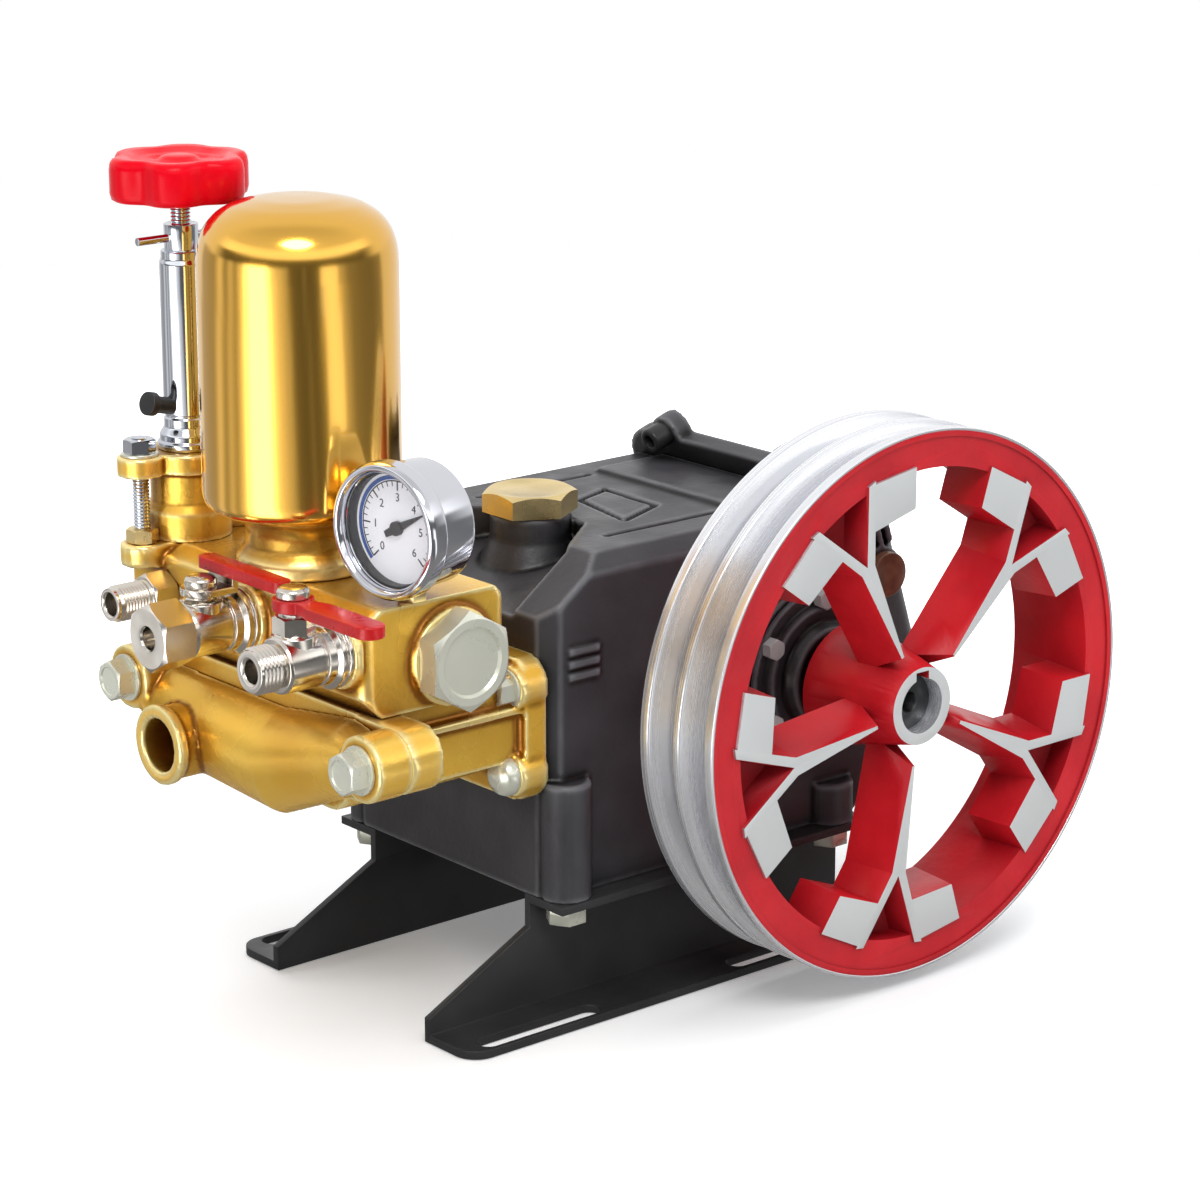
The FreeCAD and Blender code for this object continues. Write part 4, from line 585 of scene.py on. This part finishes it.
def hex_head(name, flats, height, material, body, at, direction, nodes=(), both=False,
             dish=0.0, bore=0.0, depth=0.0):
    """A hexagon head or nut with turned-off corners, a dished face or a blind bore."""
    half = flats * 0.5
    rings = [[(x, y, 0.0) for x, y in hexagon(flats)]]
    top = []
    for share in (0.0, 0.25, 0.5, 0.75, 1.0):
        ring = []
        for x, y in hexagon(flats, share):
            ring.append((x, y, height - max(math.hypot(x, y) - half * FACE_SHARE, 0.0) * 0.55))
        top.append(ring)
    if both:
        rings = [[(x, y, height - z) for x, y, z in ring] for ring in reversed(top)]
    rings += top
    inner = []
    if dish:
        inner += [(half * 0.80, height), (half * 0.74, height - dish)]
    if bore:
        inner += [(bore + 1.6, height), (bore + 0.5, height - 0.1), (bore, height - 0.8)]
        inner += [(bore, height - depth)]
    rings += [circle(radius, level, HEX_SEGMENTS) for radius, level in inner]
    return skin(name, rings, material, body, at, direction, nodes, 24.0)


set_camera()
set_world()
set_floor()
soft_lamp("key", (-0.9, -1.1, 1.7), (0, 0, 0.12), 1.1, 0.8, 20.0, True)
soft_lamp("top", (0.2, 0.2, 2.0), (0, 0, 0.1), 1.8, 1.8, 22.0)
soft_lamp("side", (1.6, -1.2, 0.9), (0, 0, 0.12), 0.9, 1.2, 9.0)
soft_lamp("back", (0.3, 1.8, 1.3), (0, 0, 0.15), 1.4, 0.9, 10.0)


# Rails, crankcase and covers

crisp("near_rail", ["rail_black"], 0.9, segments=3)
crisp("far_rail", ["rail_black"], 0.9, segments=3)
crisp("rail_bolts", ["zinc"], 0.4)
cast("crankcase", "case_black", 0.9, 4, 0.30)
cast("rear_cover", "case_black", 0.9, 5, 0.35)
cast("near_bearing_cover", "case_black", 0.7, 4, 0.5)
cast("far_bearing_cover", "case_black", 0.7, 4, 0.5)
crisp("sight_plug", ["sight_brown"], 0.6)
hex_head("oil_cap_hex", 30.0, 8.0, "cap_brass", "pump", (-0.009, 0, 0.168), UP,
         nodes=("oil_filler_cap",), dish=0.3)
crisp("crankshaft", ["shaft_steel"], 0.5, body="pulley")
crisp("shaft_key", ["shaft_steel"], 0.3, body="pulley")


MILLED_FACE = -0.1152
GROOVED_RADIUS = 0.0872
RIM_RADIUS = 0.0880
LIP_RADIUS = 0.0965
HUB_RADIUS = 0.0148
BORE_RADIUS = 0.0112
LIP_AREA = 0.001


def pulley_side(face):
    """0 for red paint, 1 for the turned rim, 2 for the milled faces of hub, spokes and blocks.

    A whole ring is one face with its centre near the axis, and the lip's is the large one.
    """
    away = face.center - CRANK
    normal = face.normal
    radius = math.hypot(away.x, away.z)
    if abs(normal.y) > 0.98:
        if normal.y > 0 or away.y > MILLED_FACE:
            return 0
        lip_ring = radius < HUB_RADIUS and face.area > LIP_AREA
        return 0 if lip_ring or radius > LIP_RADIUS else 2
    outward = normal.dot(Vector((away.x, 0, away.z)).normalized())
    if radius > GROOVED_RADIUS and outward > -0.05:
        return 1
    return 1 if radius < BORE_RADIUS else 0


def under_rim(point):
    """Draws the casting in a little where the turned rim lies over it."""
    away = point - CRANK
    radius = math.hypot(away.x, away.z)
    if radius < RIM_RADIUS:
        return
    if radius > LIP_RADIUS:
        away.y = min(max(away.y, -0.1153), -0.0787)
    share = (radius - 0.00015) / radius
    point.xyz = CRANK + Vector((away.x * share, away.y, away.z * share))


crisp("pulley", ["pulley_red", "rim_bright", "block_bare"], 0.45, body="pulley", pick=pulley_side, angle=20.0,
      move=under_rim)
belt_rim = [(88.6, 1.6), (98.8, 1.6), (98.8, 0), (100, 0)]
for middle in (10.5, 26.5):
    belt_rim += [(100, middle - 6.5), (89.5, middle - 3), (89.5, middle + 3), (100, middle + 6.5)]
belt_rim += [(100, 37), (97, 37), (97, 36), (88.6, 36), (88.6, 1.6)]
lathe("belt_rim", belt_rim, "rim_bright", "pulley", (CRANK.x, PULLEY_FACE, CRANK.z), (0, 1, 0), 0.5, 256,
      sharp=60.0)

# Fluid end

cast("cylinder_block", "gold", 1.0, 4, 0.4)
cast("suction_manifold", "gold", 0.8, 5, 0.5)
cast("discharge_manifold", "gold", 1.0, 4, 0.4)
cast("regulator_body", "gold", 0.6, 4, 0.5)
SIDES = (("near", -1), ("far", 1))
PLUG_X, PLUG_Z = -0.094, 0.1445
PLUG_FACE = {"near": -0.065, "far": 0.079}
TIE_X, TIE_Z = -0.1395, 0.1163
TIE_Y = {"near": -0.0715, "far": 0.0645}
WASHER = 1.2
for name, side in SIDES:
    hex_head(name + "_plug_hex", 30.5, 9.0, "zinc", "pump", (PLUG_X, PLUG_FACE[name], PLUG_Z), (0, side, 0),
             nodes=(name + "_gallery_plug",), dish=1.0)
    washer = [(0, 0), (8.4, 0), (8.4, WASHER), (0, WASHER)]
    lathe(name + "_tie_washer", washer, "zinc", "pump", (TIE_X, TIE_Y[name], TIE_Z), FORWARD, 0.3, 48)
    hex_head(name + "_tie_hex", 13.0, 6.8, "zinc", "pump", (TIE_X - WASHER * MM, TIE_Y[name], TIE_Z), FORWARD,
             nodes=(name + "_tie_bolt",), dish=0.5)

CHAMBER_X = -0.1085
can = [(0, 0), (30, 0), (33.2, 2.4), (34, 6), (34, 84), (33.4, 90), (31.6, 95.4), (28, 100), (22, 103.6),
       (13, 105.6), (0, 106)]
lathe("air_chamber_can", can, "chamber_gold", "pump", (CHAMBER_X, 0, 0.186), round_by=2.5, segments=128,
      nodes=("air_chamber",), sharp=50.0)
foot = [(0, 0), (23, 0), (23, 5), (20, 9), (19.5, 14), (21, 18), (26, 21), (0, 21)]
lathe("chamber_foot", foot, "gold", "pump", (CHAMBER_X, 0, CHEST_TOP), round_by=1.5, segments=96,
      nodes=("chamber_base",), sharp=50.0)

# Pressure gauge

GAUGE_TURN = math.radians(9.0)
FACE = Vector((-math.cos(GAUGE_TURN), -math.sin(GAUGE_TURN), 0))
RIGHT = Vector(UP).cross(FACE)
GAUGE = Vector((-0.1065, -0.0575, 0.1905))
GAUGE_BACK = GAUGE - FACE * 0.011
case_shape = [(0, 0), (18.5, 0), (21.2, 2.8), (21.2, 21), (19.6, 21), (19.6, 16), (0, 16)]
lathe("gauge_can", case_shape, "gauge_chrome", "pump", GAUGE_BACK, FACE, 0.8, 96, nodes=("gauge_case",))
ring_shape = [(21.3, 0), (22.6, 0), (23.2, 1.2), (23.2, 6.2), (22.2, 7.8), (20.6, 8.0), (19.6, 6.6),
              (19.4, 5.2), (21.3, 5.2), (21.3, 0)]
lathe("gauge_ring", ring_shape, "gauge_chrome", "pump", GAUGE + FACE * 0.006, FACE, 0.5, 96,
      nodes=("gauge_bezel",))
# A black ring along the inner wall of the can: painted shade of that wall.
shade_ring_profile = [(19.5, 9.6), (19.5, 20.6), (18.7, 20.6), (18.7, 9.6), (19.5, 9.6)]
lathe("gauge_painted_shade_ring", shade_ring_profile, "needle_black", "pump", GAUGE_BACK, FACE, 0.2, 96)
crisp("gauge_stem", ["cap_brass"], 0.2)


def dial_point(angle, radius, lift):
    """A point on the dial: angle clockwise from the top as the reader sees it, the rest in millimetres."""
    turn = math.radians(angle)
    base = GAUGE + FACE * (0.006 + lift * MM)
    return base + (RIGHT * math.sin(turn) + Vector(UP) * math.cos(turn)) * radius * MM


def dial_mark(name, pieces, material):
    """Flat printed shapes on the dial: each is (start angle, end angle, inner radius, outer radius)."""
    verts, faces = [], []
    for start, end, inner, outer in pieces:
        steps = max(1, int(abs(end - start) / 4))
        first = len(verts)
        for step in range(steps + 1):
            angle = start + (end - start) * step / steps
            for radius in (inner, outer):
                for lift in (0.02, 0.12):
                    verts.append(dial_point(angle, radius, lift))
        for step in range(steps):
            a = first + 4 * step
            b = a + 4
            faces += [(a + 1, b + 1, b + 3, a + 3), (a, a + 2, b + 2, b)]
            faces += [(a, b, b + 1, a + 1), (a + 2, a + 3, b + 3, b + 2)]
        last = first + 4 * steps
        faces += [(first, first + 1, first + 3, first + 2), (last, last + 2, last + 3, last + 1)]
    mesh = bpy.data.meshes.new(name)
    mesh.from_pydata([tuple(vert) for vert in verts], [], faces)
    return settle(name, mesh, [material], "pump")


def dial_number(text, angle):
    """A printed numeral at an angle of the dial."""
    curve = bpy.data.curves.new("number_" + text, "FONT")
    curve.body = text
    curve.size = 4.0 * MM
    curve.extrude = 0.04 * MM
    curve.align_x = "CENTER"
    curve.align_y = "CENTER"
    carrier = bpy.data.objects.new("carrier", curve)
    scene.collection.objects.link(carrier)
    bpy.context.view_layer.update()
    graph = bpy.context.evaluated_depsgraph_get()
    mesh = bpy.data.meshes.new_from_object(carrier.evaluated_get(graph))
    bpy.data.objects.remove(carrier)
    turn = Matrix((RIGHT, Vector(UP), FACE)).transposed().to_4x4()
    mesh.transform(Matrix.Translation(dial_point(angle, 10.2, 0.08)) @ turn)
    settle("dial_number_" + text, mesh, ["needle_black"], "pump")


LOW_END, HIGH_END = -135.0, 135.0
RED_FROM = 30.0
NUMBERS = 7
TICKS_EACH = 5
ticks = []
tick_count = (NUMBERS - 1) * TICKS_EACH
for index in range(tick_count + 1):
    angle = LOW_END + (HIGH_END - LOW_END) * index / tick_count
    inner, half = (12.6, 1.0) if index % TICKS_EACH == 0 else (14.0, 0.55)
    ticks.append((angle - half, angle + half, inner, 15.6))
dial_mark("dial_ticks", ticks, "needle_black")
dial_mark("dial_arc", [(LOW_END, HIGH_END, 15.6, 16.0)], "needle_black")
dial_mark("dial_low_zone", [(LOW_END, RED_FROM, 16.3, 17.7)], "dial_blue")
dial_mark("dial_high_zone", [(RED_FROM, HIGH_END, 16.3, 17.7)], "dial_pink")
for index in range(NUMBERS):
    dial_number(str(index), LOW_END + (HIGH_END - LOW_END) * index / (NUMBERS - 1))

# Regulator and its handwheel

REG_X, REG_Y = -0.113, 0.062
CLAMP_REACH = 0.020
PLATE_TOP = 0.196
SCREW_FOOT = 0.238
KNOB_FOOT = 0.284
tube = [(0, 0), (10.5, 0), (10.5, 2.6), (9.7, 3.2), (9.7, 5.2), (9.0, 6.4), (8, 8), (8, 11), (7.5, 11.4),
        (7.5, 12.2), (8, 12.6), (8, 65.5), (7.3, 67.2), (7.3, 70), (3.7, 70), (3.7, 64), (0, 64)]
lathe("regulator_tube_turned", tube, "chrome", "pump", (REG_X, REG_Y, PLATE_TOP), round_by=0.6,
      nodes=("regulator_tube",))
crisp("lock_nut", ["chrome"], 0.5)
rod = [(0, 0)] + thread(20.0, 46.0, 3.5, 1.25, 0.45) + [(0, 46.0)]
lathe("screw_thread", rod, "chrome", "handwheel", (REG_X, REG_Y, SCREW_FOOT), round_by=0, segments=40,
      nodes=("regulator_screw",), sharp=20.0)
for end, rod_x in (("front", REG_X - CLAMP_REACH), ("rear", REG_X + CLAMP_REACH)):
    shank = [(0, 0)] + thread(0.0, 37.4, 3.0, 1.25, 0.4) + [(0, 37.4)]
    lathe(end + "_clamp_thread", shank, "chrome", "pump", (rod_x, REG_Y, CHEST_TOP), round_by=0,
          segments=36, nodes=("regulator_clamp_rods",) if end == "front" else (), sharp=20.0)
    hex_head(end + "_clamp_nut", 10.0, 5.0, "chrome", "pump", (rod_x, REG_Y, PLATE_TOP + 0.001), UP, both=True)
    lathe(end + "_clamp_washer", [(0, 0), (6.6, 0), (6.6, 1.0), (0, 1.0)], "zinc", "pump",
          (rod_x, REG_Y, PLATE_TOP), round_by=0.3, segments=40)
    hex_head(end + "_clamp_foot_nut", 10.0, 5.0, "cap_brass", "pump", (rod_x, REG_Y, CHEST_TOP), UP, both=True)
nub = [(0, 0), (3.0, 0), (3.0, 9.0), (4.2, 9.2), (4.2, 12.5), (0, 12.5)]
lathe("tube_set_screw", nub, "needle_black", "pump", (REG_X - 0.006, REG_Y - 0.001, 0.2115), (-1, -0.12, 0.25),
      0.5, 32)

KNOB_RADIUS = 25.0
KNOB_LOBES = 6


def knob_ring(scale, height, depth):
    """A lobed ring of the handwheel: its share of the full radius, and how deep its hollows are."""
    ring = []
    segments = 144
    for k in range(segments):
        angle = math.tau * k / segments
        wave = 0.5 - 0.5 * math.cos(KNOB_LOBES * (angle - math.radians(20)) + math.pi)
        reach = (KNOB_RADIUS - depth * wave ** 1.6) * scale
        ring.append((reach * math.cos(angle), reach * math.sin(angle), height))
    return ring


knob = [(0.20, 0, 0), (0.30, 0, 0.5), (0.34, 2.2, 0.8), (0.80, 2.6, 2.0), (0.86, 0.6, 3.0), (0.93, 0.1, 3.6),
        (0.975, 0.8, 3.8), (1.0, 3.0, 3.9), (1.0, 11.0, 3.9), (0.985, 13.2, 3.9), (0.95, 14.5, 3.8),
        (0.90, 15.0, 3.4), (0.72, 14.8, 2.0), (0.62, 13.6, 1.0), (0.30, 13.2, 0.4), (0.24, 14.4, 0),
        (0.16, 14.9, 0)]
skin("knob_lobed", [knob_ring(*ring) for ring in knob], "knob_red", "handwheel", (REG_X, REG_Y, KNOB_FOOT),
     nodes=("handwheel",), sharp=50.0)

# Outlet cocks, levers and the bypass outlet

COCK_FACE = -0.133
LEVER_X = -0.149
NEAR_Y, FAR_Y = -0.050, 0.003
BYPASS = (-0.130, 0.052, 0.148)
collar = [(0, 0), (11.5, 0), (11.5, 1.4), (10.7, 1.8), (10.7, 2.4), (11.5, 2.8), (11.5, 4.4), (9.6, 5.4),
          (9.6, 8.2), (8.7, 8.6), (8.7, 9.6), (9.6, 10.0)]
near_spout = collar + [(9.6, 23.0), (9.0, 24.0), (7.2, 24.2)] + thread(25.4, 32.9, 8.0, 1.5, 0.7) + [
    (7.0, 34), (4.8, 34), (4, 33.2), (4, 22), (0, 22)]
lathe("near_cock_turned", near_spout, "nickel", "pump", (COCK_FACE, NEAR_Y, COCK_Z), FORWARD, 0.25, 72,
      nodes=("near_cock",), sharp=26.0)
far_barrel = collar + [(9.6, 23.0), (9.0, 24.6), (0, 24.6)]
lathe("far_cock_turned", far_barrel, "nickel", "pump", (COCK_FACE, FAR_Y, COCK_Z), FORWARD, 0.25, 72,
      nodes=("far_cock",), sharp=26.0)
hex_head("far_union_nut", 21.0, 13.0, "nickel", "pump", (-0.158, FAR_Y, COCK_Z), FORWARD, both=True,
         bore=4.0, depth=9.0)
for name, pivot_y, top, lever_thick in (("near", NEAR_Y, 0.1675, 0.004), ("far", FAR_Y, 0.1615, 0.0025)):
    tall = (top - COCK_Z) / MM
    tower = [(0, 0), (7.6, 0), (7.6, 9.4), (6.4, 9.8), (5.0, tall - 1.2), (4.6, tall), (0, tall)]
    lathe(name + "_tower_turned", tower, "nickel", "pump", (LEVER_X, pivot_y, COCK_Z), round_by=0.4,
          segments=48)
    hex_head(name + "_gland_nut", 12.4, tall - 11.0, "nickel", "pump", (LEVER_X, pivot_y, COCK_Z + 0.0096), UP,
             both=True)
    cap = [(0, 0), (5.5, 0), (5.5, 2.6), (4.6, 3.7), (2.5, 4.0), (0, 4.0)]
    lathe(name + "_cap_round", cap, "nickel", name + "_lever", (LEVER_X, pivot_y, top + 0.0003 + lever_thick),
          round_by=0.6, nodes=(name + "_spindle_nut",))


def far_lever_side(face):
    """Red sleeve on the bar, bare plate on the strap."""
    return 0 if face.center.z > 0.1675 else 1


crisp("near_lever", ["lever_red"], 1.1, body="near_lever", segments=4)
crisp("far_lever", ["lever_red", "nickel"], 0.8, body="far_lever", segments=3, pick=far_lever_side)
spout = [(0, 0), (6.5, 0), (6.5, 9.6), (5.8, 10.2)] + thread(10.8, 22.8, 6.5, 1.25, 0.55) + [
    (5.8, 24), (4.6, 24), (4, 23.3), (4, 13), (0, 13)]
lathe("bypass_turned", spout, "nickel", "pump", BYPASS, FORWARD, 0.2, 60, nodes=("bypass_outlet",), sharp=26.0)
hex_head("bypass_hex", 15.0, 9.6, "nickel", "pump", BYPASS, FORWARD, both=True)

# Small fasteners of the castings

JOINT_SLOPE = (-0.950, 0, -0.311)
BOLT_CIRCLE = 0.0285
COVER_BOLTS = 6
COVER_FACE_Y = 0.0630
FLANGE_X, FLANGE_Y = -0.060, 0.050
screw = [(0, 0), (4.8, 0), (4.8, 7.4), (4.2, 8.0), (2.6, 8.0), (2.4, 4.6), (0, 4.6)]
for name, side in SIDES:
    lathe(name + "_ear_screw", screw, "rail_black", "pump", (0.0838, side * 0.033, 0.1762), JOINT_SLOPE,
          0.4, 40)

flat = [(0, 0), (7.0, 0), (7.0, 1.0), (0, 1.0)]
dome = [(0, 0), (7.2, 0), (7.2, 2.2), (6.2, 4.6), (3.6, 6.2), (0, 6.8)]
for name, side in SIDES:
    for index in range(COVER_BOLTS):
        angle = math.radians(360 / COVER_BOLTS * index + 30)
        at = (CRANK.x + BOLT_CIRCLE * math.cos(angle), side * COVER_FACE_Y,
              CRANK.z + BOLT_CIRCLE * math.sin(angle))
        hex_head(f"{name}_cover_bolt_{index}", 7.0, 4.0, "block_bare", "pump", at, (0, side, 0))
    upper = (FLANGE_X, side * FLANGE_Y, 0.123)
    lathe(name + "_flange_washer", flat, "zinc", "pump", upper, FORWARD, 0.3, 40)
    hex_head(name + "_flange_bolt", 10.0, 6.0, "zinc", "pump", (FLANGE_X - 0.001, upper[1], upper[2]), FORWARD,
             dish=0.4)
    lathe(name + "_flange_dome", dome, "zinc", "pump", (FLANGE_X, side * FLANGE_Y, 0.092), FORWARD, 0.8, 48)

# The nodes that show as they are

bare = {"gauge_dial": "dial_white", "gauge_needle": "needle_black", "gauge_glass": "glass"}
for label, material in bare.items():
    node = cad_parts[label]
    for slot in node.material_slots:
        slot.material = MATERIALS[material]
    if not node.material_slots:
        node.data.materials.append(MATERIALS[material])

scene.view_settings.view_transform = "Standard"
